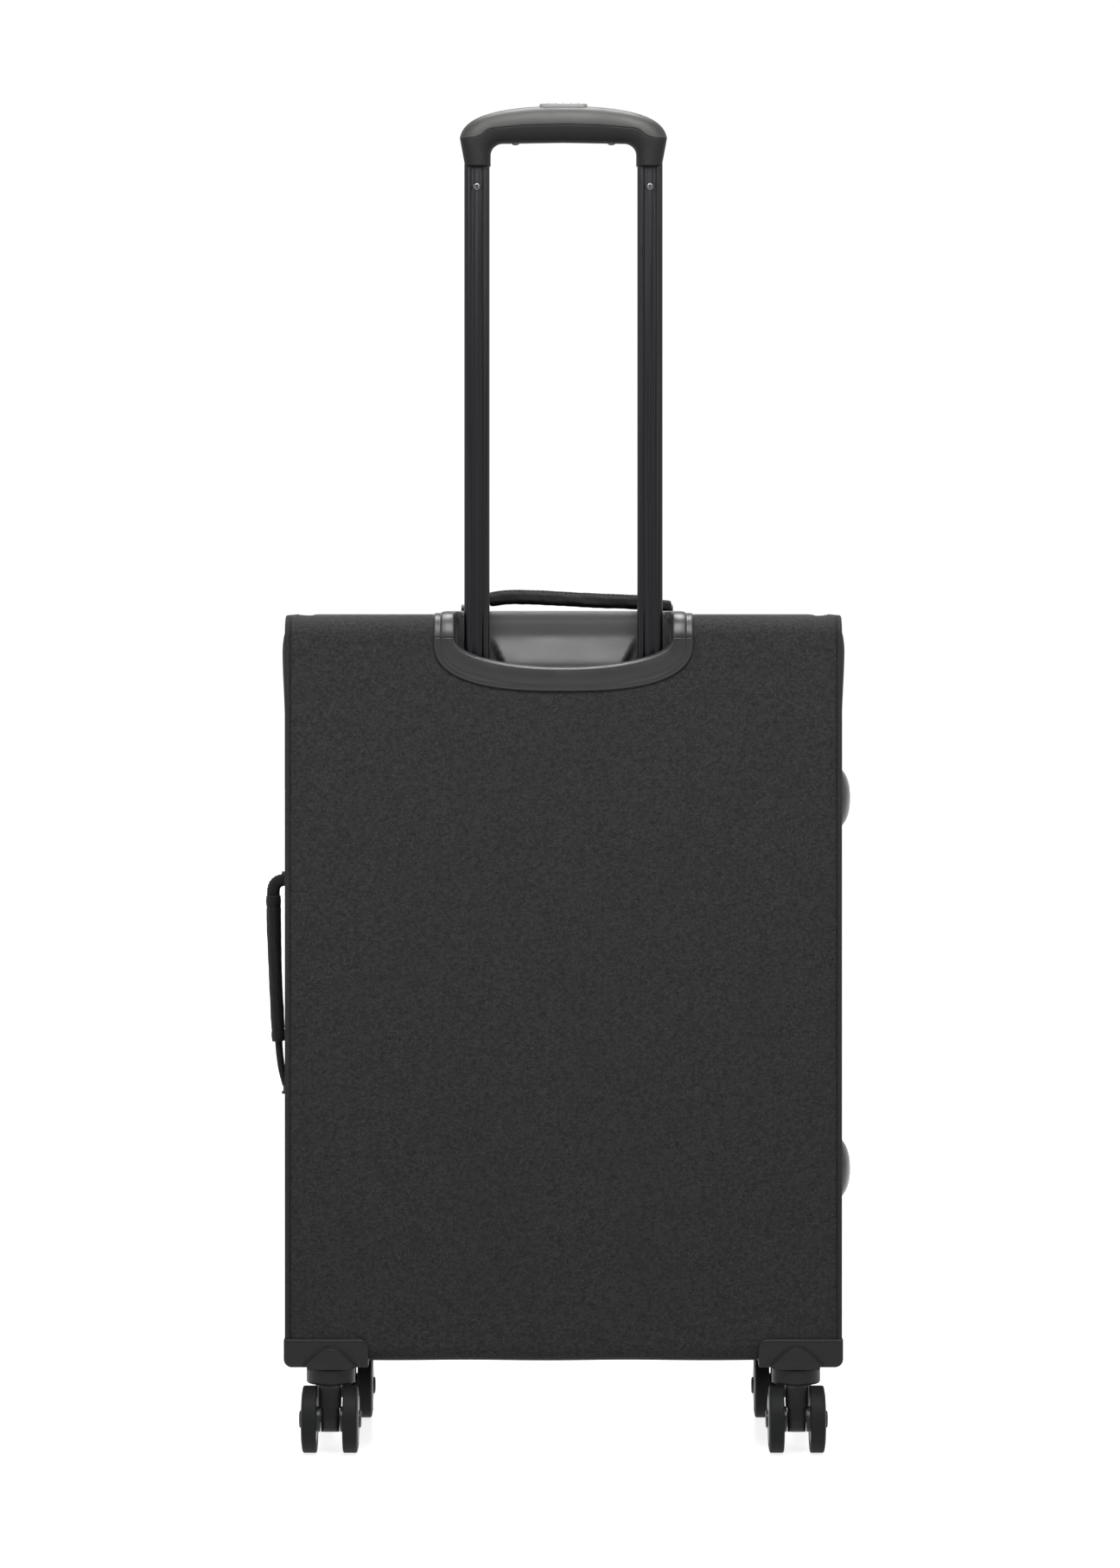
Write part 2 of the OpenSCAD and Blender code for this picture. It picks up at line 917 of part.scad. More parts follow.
// Whole outline of the grip from behind, measured from the leg ends
module grip_outline() {
    steps = 24;
    top = [for (i = [-steps:steps]) let (x = grip_half * sin(90 * i / steps)) [x, crown(x)]];
    difference() {
        polygon(concat([[leg_end_x, 0]], [[-leg_end_x, 0]], top));
        polygon(concat(
            [[-leg_inner_x, -1], [-leg_inner_x, 9]],
            [for (i = [1:7]) let (t = 90 - 90 * i / 8)
                [-leg_inner_x + 9 * (1 - sin(t)) , 9 + (bar_under - 9) * cos(t)]],
            [[-leg_inner_x + 9.5, bar_under], [leg_inner_x - 9.5, bar_under]],
            [for (i = [7:-1:1]) let (t = 90 - 90 * i / 8)
                [leg_inner_x - 9 * (1 - sin(t)), 9 + (bar_under - 9) * cos(t)]],
            [[leg_inner_x, 9], [leg_inner_x, -1]]
        ));
    }
}

// Region under the parting line between the grip's body and its cover
module under_parting() {
    polygon([
        [-grip_half - 2, -2], [-grip_half - 2, 21.6], [-66, 21.6], [-58, 28],
        [0, 31], [58, 28], [66, 21.6], [grip_half + 2, 21.6], [grip_half + 2, -2]
    ]);
}

// Hollows shared by both grip mouldings: the transfer bar's channel and the button's well
module grip_hollows() {
    block(
        [-tube_x - 4.5, tube_y - 7, grip_z + bar_cavity_z],
        [tube_x + 4.5, tube_y + 7, grip_z + bar_cavity_z + bar_cavity_h]
    );
    block(
        [-button_w / 2 - fit_gap, tube_y - button_t / 2 - fit_gap, grip_z + bar_cavity_z],
        [button_w / 2 + fit_gap, tube_y + button_t / 2 + fit_gap, grip_z + grip_h + 5]
    );
    both_tubes()
        translate([0, 0, grip_z - plug_l - 1])
            cylinder(r = rod_d / 2 + rod_clear, h = plug_l + bar_cavity_z + 2);
}

module grip_body() {
    color(plastic_c)
        difference() {
            union() {
                translate([0, 0, grip_z])
                    along_y(tube_y - grip_t / 2, tube_y + grip_t / 2)
                        intersection() {
                            grip_outline();
                            under_parting();
                        }
                // plugs that fill the tube ends
                both_tubes()
                    translate([0, 0, grip_z - plug_l])
                        linear_extrude(height = plug_l + 1)
                            rounded_rect(tube_w - 2 * tube_wall - 0.4, tube_t - 2 * tube_wall - 2.6, 1.8);
            }
            grip_hollows();
            both_tubes()
                translate([0, 0, tube_screw_z])
                    rotate([90, 0, 0])
                        cylinder(r = 1.5, h = tube_t);
            for (side = [-1, 1])
                translate([side * button_w, tube_y, grip_z + bar_under - 1])
                    cylinder(r = 1.6, h = bar_cavity_z);
            for (side = [-1, 1])
                translate([side * button_w, tube_y, grip_z + bar_under - 1])
                    cylinder(r = 3.3, h = 3);
        }
}

module grip_cover() {
    color(plastic_c)
        difference() {
            translate([0, 0, grip_z])
                along_y(tube_y - grip_t / 2, tube_y + grip_t / 2)
                    difference() {
                        grip_outline();
                        under_parting();
                    }
            grip_hollows();
        }
}

// Pan head on the tube's flute and a shank into the plug; and the two screws under the bar
module trolley_screws() {
    flute_y = tube_y - tube_t / 2 + 1.1;
    color(steel_c) {
        for (side = [-1, 1])
            translate([side * tube_x, flute_y, tube_screw_z])
                rotate([90, 0, 0])
                    difference() {
                        union() {
                            cylinder(r = 3.6, h = 1.6);
                            translate([0, 0, -4.4])
                                cylinder(r = 1.45, h = 4.5);
                        }
                        for (turn = [0, 90])
                            rotate([0, 0, turn])
                                translate([0, 0, 1.6])
                                    cube([3.6, 0.9, 1.6], center = true);
                    }
        for (side = [-1, 1])
            translate([side * button_w, tube_y, grip_z + bar_under])
                difference() {
                    union() {
                        cylinder(r = 3.1, h = 1.9);
                        cylinder(r = 1.5, h = 3.9);
                    }
                    for (turn = [0, 90])
                        rotate([0, 0, turn])
                            cube([3.2, 0.9, 1.6], center = true);
                }
    }
}

bar_top_z = grip_z + bar_cavity_z + bar_cavity_h - 0.4;
bar_t = 5;

module push_button() {
    z1 = grip_z + grip_h + button_proud;
    color(trim_c)
        difference() {
            along_y(tube_y - button_t / 2, tube_y + button_t / 2)
                translate([0, (bar_top_z + z1) / 2])
                    rounded_rect(button_w, z1 - bar_top_z, 2);
            // grip ribs on top
            for (i = [-2:2])
                translate([i * 5, tube_y, z1])
                    rotate([90, 0, 0])
                        cylinder(r = 0.6, h = button_t + 1, center = true);
        }
}

spring_z0 = inner_tube_z + lock_block_h;
spring_l = 18;

module release_rods() {
    color(steel_c)
        union() {
            block(
                [-tube_x - 3.5, tube_y - 5, bar_top_z - bar_t],
                [tube_x + 3.5, tube_y + 5, bar_top_z - 0.02]
            );
            both_tubes()
                translate([0, 0, lock_z + pin_d / 2 + button_travel + 1])
                    cylinder(r = rod_d / 2, h = bar_top_z - 1 - lock_z - pin_d / 2 - button_travel - 1);
            // collars that the return springs push up on
            both_tubes()
                translate([0, 0, spring_z0 + spring_l + 0.05])
                    cylinder(r = 4.2, h = 3);
        }
}

module return_springs() {
    turns = 5;
    per_turn = 12;
    r = 3.3;
    wire_r = 0.45;
    color(steel_c)
        both_tubes()
            translate([0, 0, spring_z0 + wire_r + 0.05])
                wire([
                    for (i = [0:turns * per_turn])
                        let (a = 360 * i / per_turn)
                            [r * cos(a), r * sin(a),
                             (spring_l - 2 * wire_r - 0.1) * i / (turns * per_turn)]
                ], wire_r, 6);
}

module lock_blocks() {
    w = tube_w - 2 * tube_wall - 0.2;
    t = tube_t - 2 * tube_wall - 2.4;
    color(plastic_c)
        difference() {
            both_tubes()
                translate([0, 0, inner_tube_z])
                    linear_extrude(height = lock_block_h)
                        rounded_rect(w, t, 1.8);
            both_tubes()
                translate([0, 0, lock_z])
                    cylinder(r = rod_d / 2 + 0.3, h = lock_block_h);
            for (side = [-1, 1])
                translate([side * (tube_x + 2), tube_y, lock_z])
                    rotate([0, side * 90, 0])
                        translate([0, 0, -4])
                            cylinder(r = pin_d / 2 + pin_clear, h = tube_w);
        }
}

// Lock pins: noses level with the inner tube's side, ready to drop into a detent
module lock_pin(side) {
    tip = tube_w / 2 + tube_gap - 0.1;
    l = 8;
    color(steel_c)
        translate([side * (tube_x + tip), tube_y, lock_z])
            rotate([0, -side * 90, 0])
                union() {
                    translate([0, 0, 0.8])
                        cylinder(r = pin_d / 2, h = l - 0.8);
                    cylinder(r1 = pin_d / 2 - 0.8, r2 = pin_d / 2, h = 0.81);
                }
}

module lock_pin_left() {
    lock_pin(-1);
}

module lock_pin_right() {
    lock_pin(1);
}

// ---------- carry handles ----------

pivot_z = top_z + pivot_lift;
pivot_x = -half_w - pivot_lift;

// Height of the top handle's centre line above the pivots, over its half length
function top_arch(u) = top_rise * (1 - pow(abs(u), 4));

// Band of constant thickness along a centre line given as [x, z] points
module band(points, t) {
    n = len(points);
    sides = [
        for (i = [0:n - 1])
            let (
                d = points[min(i + 1, n - 1)] - points[max(i - 1, 0)],
                m = [-d[1], d[0]] / norm(d)
            )
            [points[i] + m * t / 2, points[i] - m * t / 2]
    ];
    polygon(concat([for (s = sides) s[0]], [for (i = [n - 1:-1:0]) sides[i][1]]));
}

// Centre line of the top handle between two shares of its half length
function top_line(from, to, steps) = [
    for (i = [0:steps])
        let (u = from + (to - from) * i / steps)
            [top_handle_x + u * (top_handle_l / 2 - eye_l / 2), pivot_z + top_arch(u)]
];

// Eye at one end of a handle, along local X towards the handle's middle, with its bore
module handle_eye() {
    rotate([0, 90, 0])
        cylinder(r = eye_r, h = eye_l);
}

module handle_bore() {
    translate([-1, 0, 0])
        rotate([0, 90, 0])
            cylinder(r = pivot_r + pivot_clear, h = eye_l + 2);
}

// Places a child at both ends of the top handle, with local X towards its middle
module at_top_pivots() {
    for (side = [-1, 1])
        translate([top_handle_x + side * top_handle_l / 2, top_handle_y, pivot_z])
            rotate([0, 0, side > 0 ? 180 : 0])
                children();
}

// Places a child at both ends of the side handle, with local X towards its middle
module at_side_pivots() {
    for (side = [-1, 1])
        translate([pivot_x, side_handle_y, side_handle_z + side * side_handle_l / 2])
            rotate([0, side * 90, 0])
                children();
}

module top_handle_strap() {
    color(trim_c)
        difference() {
            union() {
                along_y(top_handle_y - strap_w / 2, top_handle_y + strap_w / 2)
                    band(top_line(-1, 1, 48), strap_t);
                at_top_pivots()
                    handle_eye();
            }
            at_top_pivots()
                handle_bore();
        }
}

module top_handle_pad() {
    u = top_pad_l / top_handle_l;
    color(fabric_c)
        difference() {
            along_y(top_handle_y - pad_w / 2, top_handle_y + pad_w / 2)
                band(top_line(-u, u, 24), pad_t);
            along_y(top_handle_y - strap_w / 2 - 0.1, top_handle_y + strap_w / 2 + 0.1)
                band(top_line(-0.93, 0.93, 44), strap_t + 0.2);
        }
}

// Centre line of the side handle from its upper eye to its lower one: [out from the pivots, z]
side_end = side_handle_l / 2;
side_line = [
    [0, side_end - eye_l / 2], [5.5, side_end - 4.6], [8.6, side_end - 6.6], [10, side_end - 10],
    [9.9, side_end - 17], [9.3, 40], [8.4, 10], [7, -20], [5.6, -side_end + 40],
    [4.9, -side_end + 30], [3.2, -side_end + 17], [0, -side_end + 5]
];

function side_points(first, last) = [
    for (i = [first:last]) [pivot_x - side_line[i][0], side_handle_z + side_line[i][1]]
];

module side_handle_strap() {
    color(trim_c)
        difference() {
            union() {
                along_y(side_handle_y - strap_w / 2, side_handle_y + strap_w / 2)
                    band(side_points(0, len(side_line) - 1), strap_t);
                at_side_pivots()
                    handle_eye();
            }
            at_side_pivots()
                handle_bore();
        }
}

module side_handle_pad() {
    color(fabric_c)
        difference() {
            along_y(side_handle_y - pad_w / 2, side_handle_y + pad_w / 2)
                band(side_points(4, 8), pad_t);
            along_y(side_handle_y - strap_w / 2 - 0.1, side_handle_y + strap_w / 2 + 0.1)
                band(side_points(3, 9), strap_t + 0.2);
        }
}

// Plate, ear and pivot pin of one handle end; local X points to the handle's middle, local Z out
module handle_anchor() {
    ear_t = 2.2;
    ear_r = 3.2;
    base = -pivot_lift;
    union() {
        translate([-12, -11, base])
            cube([20, 22, plate_t]);
        translate([-0.4 - ear_t, -ear_r, base])
            cube([ear_t, 2 * ear_r, pivot_lift]);
        translate([-0.4 - ear_t, 0, 0])
            rotate([0, 90, 0])
                cylinder(r = ear_r, h = ear_t);
        translate([-0.4 - ear_t, 0, 0])
            rotate([0, 90, 0])
                cylinder(r = pivot_r, h = ear_t + eye_l);
    }
}

module handle_anchors() {
    color(trim_c) {
        at_top_pivots()
            handle_anchor();
        for (side = [-1, 1])
            translate([pivot_x, side_handle_y, side_handle_z + side * side_end])
                rotate([0, -90, 0])
                    rotate([0, 0, side > 0 ? 180 : 0])
                        handle_anchor();
    }
}

// ---------- side studs ----------

// Round stud: flange, domed foot and a short spigot through the side panel
module stud() {
    dome_r = (pow(stud_d / 2, 2) + stud_h * stud_h) / (2 * stud_h);
    rotate([0, 90, 0])
        union() {
            cylinder(r1 = stud_flange_r, r2 = stud_flange_r - 2.5, h = stud_flange_t);
            intersection() {
                translate([0, 0, stud_flange_t + stud_h - dome_r])
                    sphere(r = dome_r);
                cylinder(r = stud_d / 2, h = stud_h + stud_flange_t + 1);
            }
            translate([0, 0, -side_wall + 0.2])
                cylinder(r = 2.9, h = side_wall);
        }
}

module side_studs() {
    color(plastic_c)
        for (z = stud_z, y = stud_y)
            translate([half_w, y, z])
                stud();
}

// ---------- casters ----------

// The four swivel axes: x, y, and which way the wheels trail
function casters() = [
    [-rear_swivel_x, back_y + swivel_inset, -1],
    [rear_swivel_x, back_y + swivel_inset, -1],
    [-front_swivel_x, front_swivel_y, 1],
    [front_swivel_x, front_swivel_y, 1]
];

// Vaulted well over a swivel head, about the swivel axis
module vault(grow) {
    intersection() {
        translate([0, 0, boss_z])
            cylinder(r = vault_plan_r + grow, h = 30);
        translate([0, 50, vault_z])
            rotate([90, 0, 0])
                cylinder(r = vault_r + grow, h = 100);
    }
}

// Plate, skirts and vault of one corner housing
module housing(c) {
    side = sign(c[0]);
    rear = c[2] < 0;
    edge_x = half_w + side_skirt_t;
    low_z = case_z - housing_t;
    y0 = rear ? back_y - skirt_t : c[1] - 30;
    y1 = rear ? y0 + housing_l + skirt_t : c[1] + 20;
    x0 = side > 0 ? edge_x - housing_w : -edge_x;
    r = 7;
    difference() {
        union() {
            block([x0, rear ? y0 + 8 : y0, low_z], [x0 + housing_w, y1, case_z]);
            if (rear) {
                // skirt over the back panel, with its rounded corners
                along_y(y0, y0 + 16)
                    translate([x0, low_z])
                        translate([housing_w / 2, (housing_t + skirt_h) / 2])
                            rounded_rect(housing_w, housing_t + skirt_h, r);
                // skirt over the side panel
                block(
                    [side > 0 ? half_w : -edge_x, y0 + 8, low_z],
                    [side > 0 ? edge_x : -half_w, y1, case_z + skirt_h]
                );
            }
            translate([c[0], c[1], 0])
                vault(0);
        }
        // room for the fabric body, except where the vault rises into it
        difference() {
            side_solid(0, zip_y, -half_w, half_w);
            translate([c[0], c[1], 0])
                vault(0);
        }
        // the vault stops short of the zip
        block([x0 - 1, zip_y - zip_tape - 0.2, case_z], [x0 + housing_w + 1, zip_y + zip_tape, top_z]);
        translate([c[0], c[1], boss_z - 1])
            cylinder(r = kingpin_d / 2, h = 17);
    }
}

module housing_bodies() {
    for (c = casters())
        housing(c);
}

module caster_housings() {
    color(plastic_c)
        housing_bodies();
}

// Steel pin riveted into a housing; the fork turns on it
module kingpins() {
    color(steel_c)
        for (c = casters())
            translate([c[0], c[1], 0]) {
                translate([0, 0, head_under_z + 0.4])
                    cylinder(r = kingpin_d / 2 + 2, h = 2.1);
                translate([0, 0, head_under_z + 2.4])
                    cylinder(r = kingpin_d / 2, h = boss_z + 15 - head_under_z - 2.4);
            }
}

// Round head, raked leg and axle boss, trailing towards local -Y
module fork(c) {
    trail = -caster_trail;
    color(plastic_c)
        translate([c[0], c[1], 0])
            rotate([0, 0, c[2] > 0 ? 180 : 0])
                difference() {
                    union() {
                        rotate_extrude()
                            polygon([
                                [0, head_under_z], [head_r - 1, head_under_z], [head_r, head_under_z + 1],
                                [head_r, head_top_z], [0, head_top_z]
                            ]);
                        leg(fork_w, wheel_r);
                        leg(fork_top_w, wheel_r + hub_r + 1.4);
                        translate([0, trail, wheel_r])
                            rotate([0, 90, 0])
                                cylinder(r = hub_r, h = fork_w, center = true);
                    }
                    // bore and counterbore for the kingpin
                    translate([0, 0, head_under_z - 1])
                        cylinder(r = kingpin_d / 2 + bore_clear, h = 30);
                    translate([0, 0, head_under_z - 8])
                        cylinder(r = kingpin_d / 2 + 2.3, h = 8 + 2.8);
                    translate([0, trail, wheel_r])
                        rotate([0, 90, 0])
                            cylinder(r = axle_r + bore_clear, h = 2 * fork_w, center = true);
                }
}

// Fork leg w wide, from height z_low up to the head
module leg(w, z_low) {
    trail = -caster_trail;
    top = head_under_z + 3;
    share = (z_low - wheel_r) / (top - wheel_r);
    translate([-w / 2, 0, 0])
        rotate([90, 0, 90])
            linear_extrude(height = w)
                polygon([
                    [trail - hub_r + share * 4, z_low], [trail + hub_r + share * 10, z_low],
                    [trail + hub_r + 10, top], [trail - hub_r + 4, top]
                ]);
}

// Section of one wheel by radius and distance from the caster's midplane
module wheel_section() {
    inner = wheel_gap / 2;
    outer = inner + wheel_w;
    polygon([
        [0, outer + 1.5], [5.4, outer + 1.5], [6.7, outer + 0.9], [6.7, outer],
        [12, outer], [wheel_r - 2, outer - 1.4], [wheel_r - 0.4, outer - 1.9],
        [wheel_r, outer - 2.6], [wheel_r, inner + 2], [wheel_r - 0.4, inner + 1.3],
        [wheel_r - 2, inner + 0.8], [hub_r, inner], [hub_r, fork_w / 2 + 0.5],
        [axle_r, fork_w / 2 + 0.5], [axle_r, outer - 2.5], [0, outer - 2.5]
    ]);
}

// Places a caster's axle line at the origin's X axis
module at_axle(c) {
    translate([c[0], c[1] + c[2] * caster_trail, wheel_r])
        children();
}

module wheels(c) {
    color(wheel_c)
        at_axle(c)
            for (side = [-1, 1])
                rotate([0, side * 90, 0])
                    rotate_extrude()
                        wheel_section();
}

module axle(c) {
    l = wheel_gap + 2 * wheel_w - 5;
    color(steel_c)
        at_axle(c)
            rotate([0, 90, 0])
                cylinder(r = axle_r, h = l, center = true);
}

module fork_rear_left() { fork(casters()[0]); }
module fork_rear_right() { fork(casters()[1]); }
module fork_front_left() { fork(casters()[2]); }
module fork_front_right() { fork(casters()[3]); }
module wheels_rear_left() { wheels(casters()[0]); }
module wheels_rear_right() { wheels(casters()[1]); }
module wheels_front_left() { wheels(casters()[2]); }
module wheels_front_right() { wheels(casters()[3]); }
module axle_rear_left() { axle(casters()[0]); }
module axle_rear_right() { axle(casters()[1]); }
module axle_front_left() { axle(casters()[2]); }
module axle_front_right() { axle(casters()[3]); }

back_wrap();
side_panel_left();
side_panel_right();
edge_piping();
back_board();
bottom_tray();
frame_hoop();
lining();
packing_straps();
main_zip_shell();
main_zip_lid();
hinge_strip();
lid_panel();
lid_lining();
lower_pocket();
upper_pocket();
pocket_zips();
main_slider_upper();
main_puller_upper();
main_slider_lower();
main_puller_lower();
lower_pocket_slider();
lower_pocket_puller();
upper_pocket_slider();
upper_pocket_puller();
bezel();
handle_cup();
guide_collars();
outer_tubes();
tube_bracket();
inner_tubes();
grip_body();
grip_cover();
trolley_screws();
push_button();
release_rods();
return_springs();
lock_blocks();
lock_pin_left();
lock_pin_right();
top_handle_pad();
top_handle_strap();
side_handle_pad();
side_handle_strap();
handle_anchors();
side_studs();
caster_housings();
kingpins();
fork_rear_left();
fork_rear_right();
fork_front_left();
fork_front_right();
wheels_rear_left();
wheels_rear_right();
wheels_front_left();
wheels_front_right();
axle_rear_left();
axle_rear_right();
axle_front_left();
axle_front_right();
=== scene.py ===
import math

import bmesh
import bpy
import numpy as np
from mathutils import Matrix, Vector


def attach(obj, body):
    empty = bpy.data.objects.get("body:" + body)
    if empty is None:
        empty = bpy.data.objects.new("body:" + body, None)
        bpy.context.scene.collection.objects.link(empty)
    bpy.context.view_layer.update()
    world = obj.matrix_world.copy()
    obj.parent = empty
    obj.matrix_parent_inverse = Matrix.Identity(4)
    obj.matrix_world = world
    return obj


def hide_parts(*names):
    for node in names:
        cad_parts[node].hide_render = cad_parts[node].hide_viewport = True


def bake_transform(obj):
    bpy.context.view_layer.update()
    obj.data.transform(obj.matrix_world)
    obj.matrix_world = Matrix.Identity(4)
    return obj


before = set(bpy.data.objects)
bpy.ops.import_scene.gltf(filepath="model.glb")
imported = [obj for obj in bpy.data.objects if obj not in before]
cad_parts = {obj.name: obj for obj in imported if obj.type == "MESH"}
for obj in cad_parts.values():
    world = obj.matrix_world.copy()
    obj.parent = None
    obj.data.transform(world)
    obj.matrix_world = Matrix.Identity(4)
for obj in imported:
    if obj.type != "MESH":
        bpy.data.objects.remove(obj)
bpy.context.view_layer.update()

# Every length in the shape functions is in millimetres; a mesh is made in metres.
MM = 0.001
QUARTER = math.pi / 2

# ---------- sizes shared with the CAD frame ----------
TOP, BOTTOM, BACK, FRONT = 660.0, 74.0, -96.0, 86.0
HALF_W = 218.5
BEND_TOP, BEND_BOTTOM = 18.0, 11.0
LEN_TOP = FRONT - BACK - BEND_TOP
LEN_BACK = TOP - BEND_TOP - BOTTOM - BEND_BOTTOM
S_BACK = LEN_TOP + QUARTER * BEND_TOP
S_BOTTOM_BEND = S_BACK + LEN_BACK
S_BOTTOM = S_BOTTOM_BEND + QUARTER * BEND_BOTTOM
S_END = S_BOTTOM + FRONT - BACK - BEND_BOTTOM
ZIP_Y, LID_Y, POCKET_Y = 100.0, 100.5, 120.55
TUBE_X, TUBE_Y = 68.5, -73.0
TUBE_W, TUBE_T = 20, 16
GRIP_Z, GRIP_DEEP = 1016.0, 12.5
WHEEL_R = 26.35
CASTERS = {
    "rear_left": (-184.0, -78.0, -1.0),
    "rear_right": (184.0, -78.0, -1.0),
    "front_left": (-179.0, 78.0, 1.0),
    "front_right": (179.0, 78.0, 1.0),
}
TRAIL = 12.0


# ---------- numbers along a curve ----------


def ease(t):
    """Smooth step: 3t^2 - 2t^3 between 0 and 1, flat outside."""
    t = np.clip(t, 0.0, 1.0)
    return t * t * (3 - 2 * t)


def ripple(a, b, size, seed, waves=7):
    """Sum of seeded sine waves over a and b (mm) whose lengths are near size, about -1 to 1."""
    draw = np.random.default_rng(seed)
    total = np.zeros(np.broadcast(a, b).shape)
    for _ in range(waves):
        turn, phase = draw.uniform(0, 2 * math.pi, 2)
        k = 2 * math.pi / (size * draw.uniform(0.7, 1.6))
        total = total + np.sin(k * (a * math.cos(turn) + b * math.sin(turn)) + phase)
    return total / math.sqrt(waves) / 1.4


def power_ring(a, b, n, count):
    """Superellipse with half-axes a and b and power n: (a sgn(c)|c|^(2/n), b sgn(s)|s|^(2/n)) round one turn."""
    t = np.linspace(0, 2 * math.pi, count, endpoint=False)
    c, s = np.cos(t), np.sin(t)
    return a * np.sign(c) * np.abs(c) ** (2 / n), b * np.sign(s) * np.abs(s) ** (2 / n)


def round_box_ring(w, h, r, count):
    """Rounded rectangle w by h with corner radius r, walked once at even arc length from the middle of its right side."""
    r = min(r, w / 2 - 1e-3, h / 2 - 1e-3)
    arc, across, up = QUARTER * r, w - 2 * r, h - 2 * r
    parts = [up / 2, arc, across, arc, up, arc, across, arc, up / 2]
    knots = np.concatenate([[0], np.cumsum(parts)])
    s = np.linspace(0, knots[-1], count, endpoint=False)
    turn = sum(np.clip((s - knots[k]) / r, 0, QUARTER) for k in (1, 3, 5, 7))
    run = [np.clip(s - knots[k], 0, parts[k]) for k in (0, 2, 4, 6, 8)]
    cx = w / 2 - r - run[1] + run[3]
    cy = run[0] - run[2] + run[4]
    cy = np.where(s >= knots[1], h / 2 - r, cy)
    cy = np.where(s >= knots[4], h / 2 - r - run[2], cy)
    cy = np.where(s >= knots[5], -h / 2 + r, cy)
    cy = np.where(s >= knots[8], -h / 2 + r + run[4], cy)
    return cx + r * np.cos(turn), cy + r * np.sin(turn)


def corner_ring(w, h, radii, count):
    """Rectangle w by h with its own radius at each corner (right top, left top, left bottom, right bottom), walked
    from the middle of its right side: each corner is a quarter turn about its own centre, joined by straights."""
    each = count // 4
    signs = ((1, 1), (-1, 1), (-1, -1), (1, -1))
    xs, ys = [], []
    for k, (sx, sy) in enumerate(signs):
        r = max(radii[k], 0.3)
        t = k * QUARTER + np.linspace(0, QUARTER, each - 4)
        arc_x, arc_y = sx * (w / 2 - r) + r * np.cos(t), sy * (h / 2 - r) + r * np.sin(t)
        n = (k + 1) % 4
        rn = max(radii[n], 0.3)
        tn = n * QUARTER
        to = (signs[n][0] * (w / 2 - rn) + rn * math.cos(tn), signs[n][1] * (h / 2 - rn) + rn * math.sin(tn))
        q = np.linspace(0, 1, 6)[1:-1]
        xs += [arc_x, arc_x[-1] + (to[0] - arc_x[-1]) * q]
        ys += [arc_y, arc_y[-1] + (to[1] - arc_y[-1]) * q]
    return np.concatenate(xs), np.concatenate(ys)


def body_line(s, lift=0.0):
    """Side outline of the body, walked from the mouth over the top, down the back and under the bottom:
    straight, arc, straight, arc, straight. s is the distance walked; lift moves out along the normal. Gives y, z."""
    a = np.clip((s - LEN_TOP) / BEND_TOP, 0, QUARTER)
    b = np.clip((s - S_BOTTOM_BEND) / BEND_BOTTOM, 0, QUARTER)
    y = FRONT - np.minimum(s, LEN_TOP) + np.maximum(s - S_BOTTOM, 0)
    y = y - BEND_TOP * np.sin(a) + BEND_BOTTOM * (1 - np.cos(b))
    z = TOP - BEND_TOP * (1 - np.cos(a)) - np.clip(s - S_BACK, 0, LEN_BACK) - BEND_BOTTOM * np.sin(b)
    return y - lift * np.sin(a + b), z + lift * np.cos(a + b)


def soften(points, turns):
    """Each inner point moved half way to the mean of its neighbours, turns times; the ends stay."""
    p = np.array(points, float)
    for _ in range(turns):
        p[1:-1] = 0.5 * p[1:-1] + 0.25 * (p[:-2] + p[2:])
    return p


def join(x, y, z):
    """Points from three coordinates, each spread to the shape of the others."""
    return np.stack(np.broadcast_arrays(x, y, z), -1)


def distances(points):
    """Distance walked from the start of a polyline to each of its points."""
    return np.concatenate([[0], np.cumsum(np.linalg.norm(np.diff(points, axis=0), axis=1))])


def at_distances(s, d, points):
    """Points at the distances s along a polyline whose own points lie at the distances d."""
    return np.stack([np.interp(s, d, points[:, k]) for k in range(points.shape[1])], -1)


# ---------- surfaces ----------


def patch(points, wrap_rows=False, wrap_cols=False, keep=None):
    """Quads over a grid of points (rows x columns x 3). Each corner's UV is the mean distance walked along columns
    and rows, in metres. keep is a mask of the quads to leave in."""
    p = np.asarray(points, float)
    rows, cols, _ = p.shape
    i = np.arange(rows if wrap_rows else rows - 1)
    j = np.arange(cols if wrap_cols else cols - 1)
    i, j = (a.ravel() for a in np.meshgrid(i, j, indexing="ij"))
    if keep is not None:
        i, j = i[keep.ravel()], j[keep.ravel()]
    i1, j1 = (i + 1) % rows, (j + 1) % cols
    faces = np.stack([i * cols + j, i * cols + j1, i1 * cols + j1, i1 * cols + j], 1)
    v, u = (
        np.concatenate([[0], np.cumsum(np.linalg.norm(np.roll(p, -1, k) - p, axis=2).mean(1 - k))]) * MM for k in (0, 1)
    )
    uv = np.stack([u[np.stack([j, j + 1, j + 1, j], 1)], v[np.stack([i, i, i + 1, i + 1], 1)]], 2)
    return p.reshape(-1, 3), faces, uv


def hoops(rings):
    """Patch over rings that close on themselves."""
    return patch(rings, wrap_cols=True)


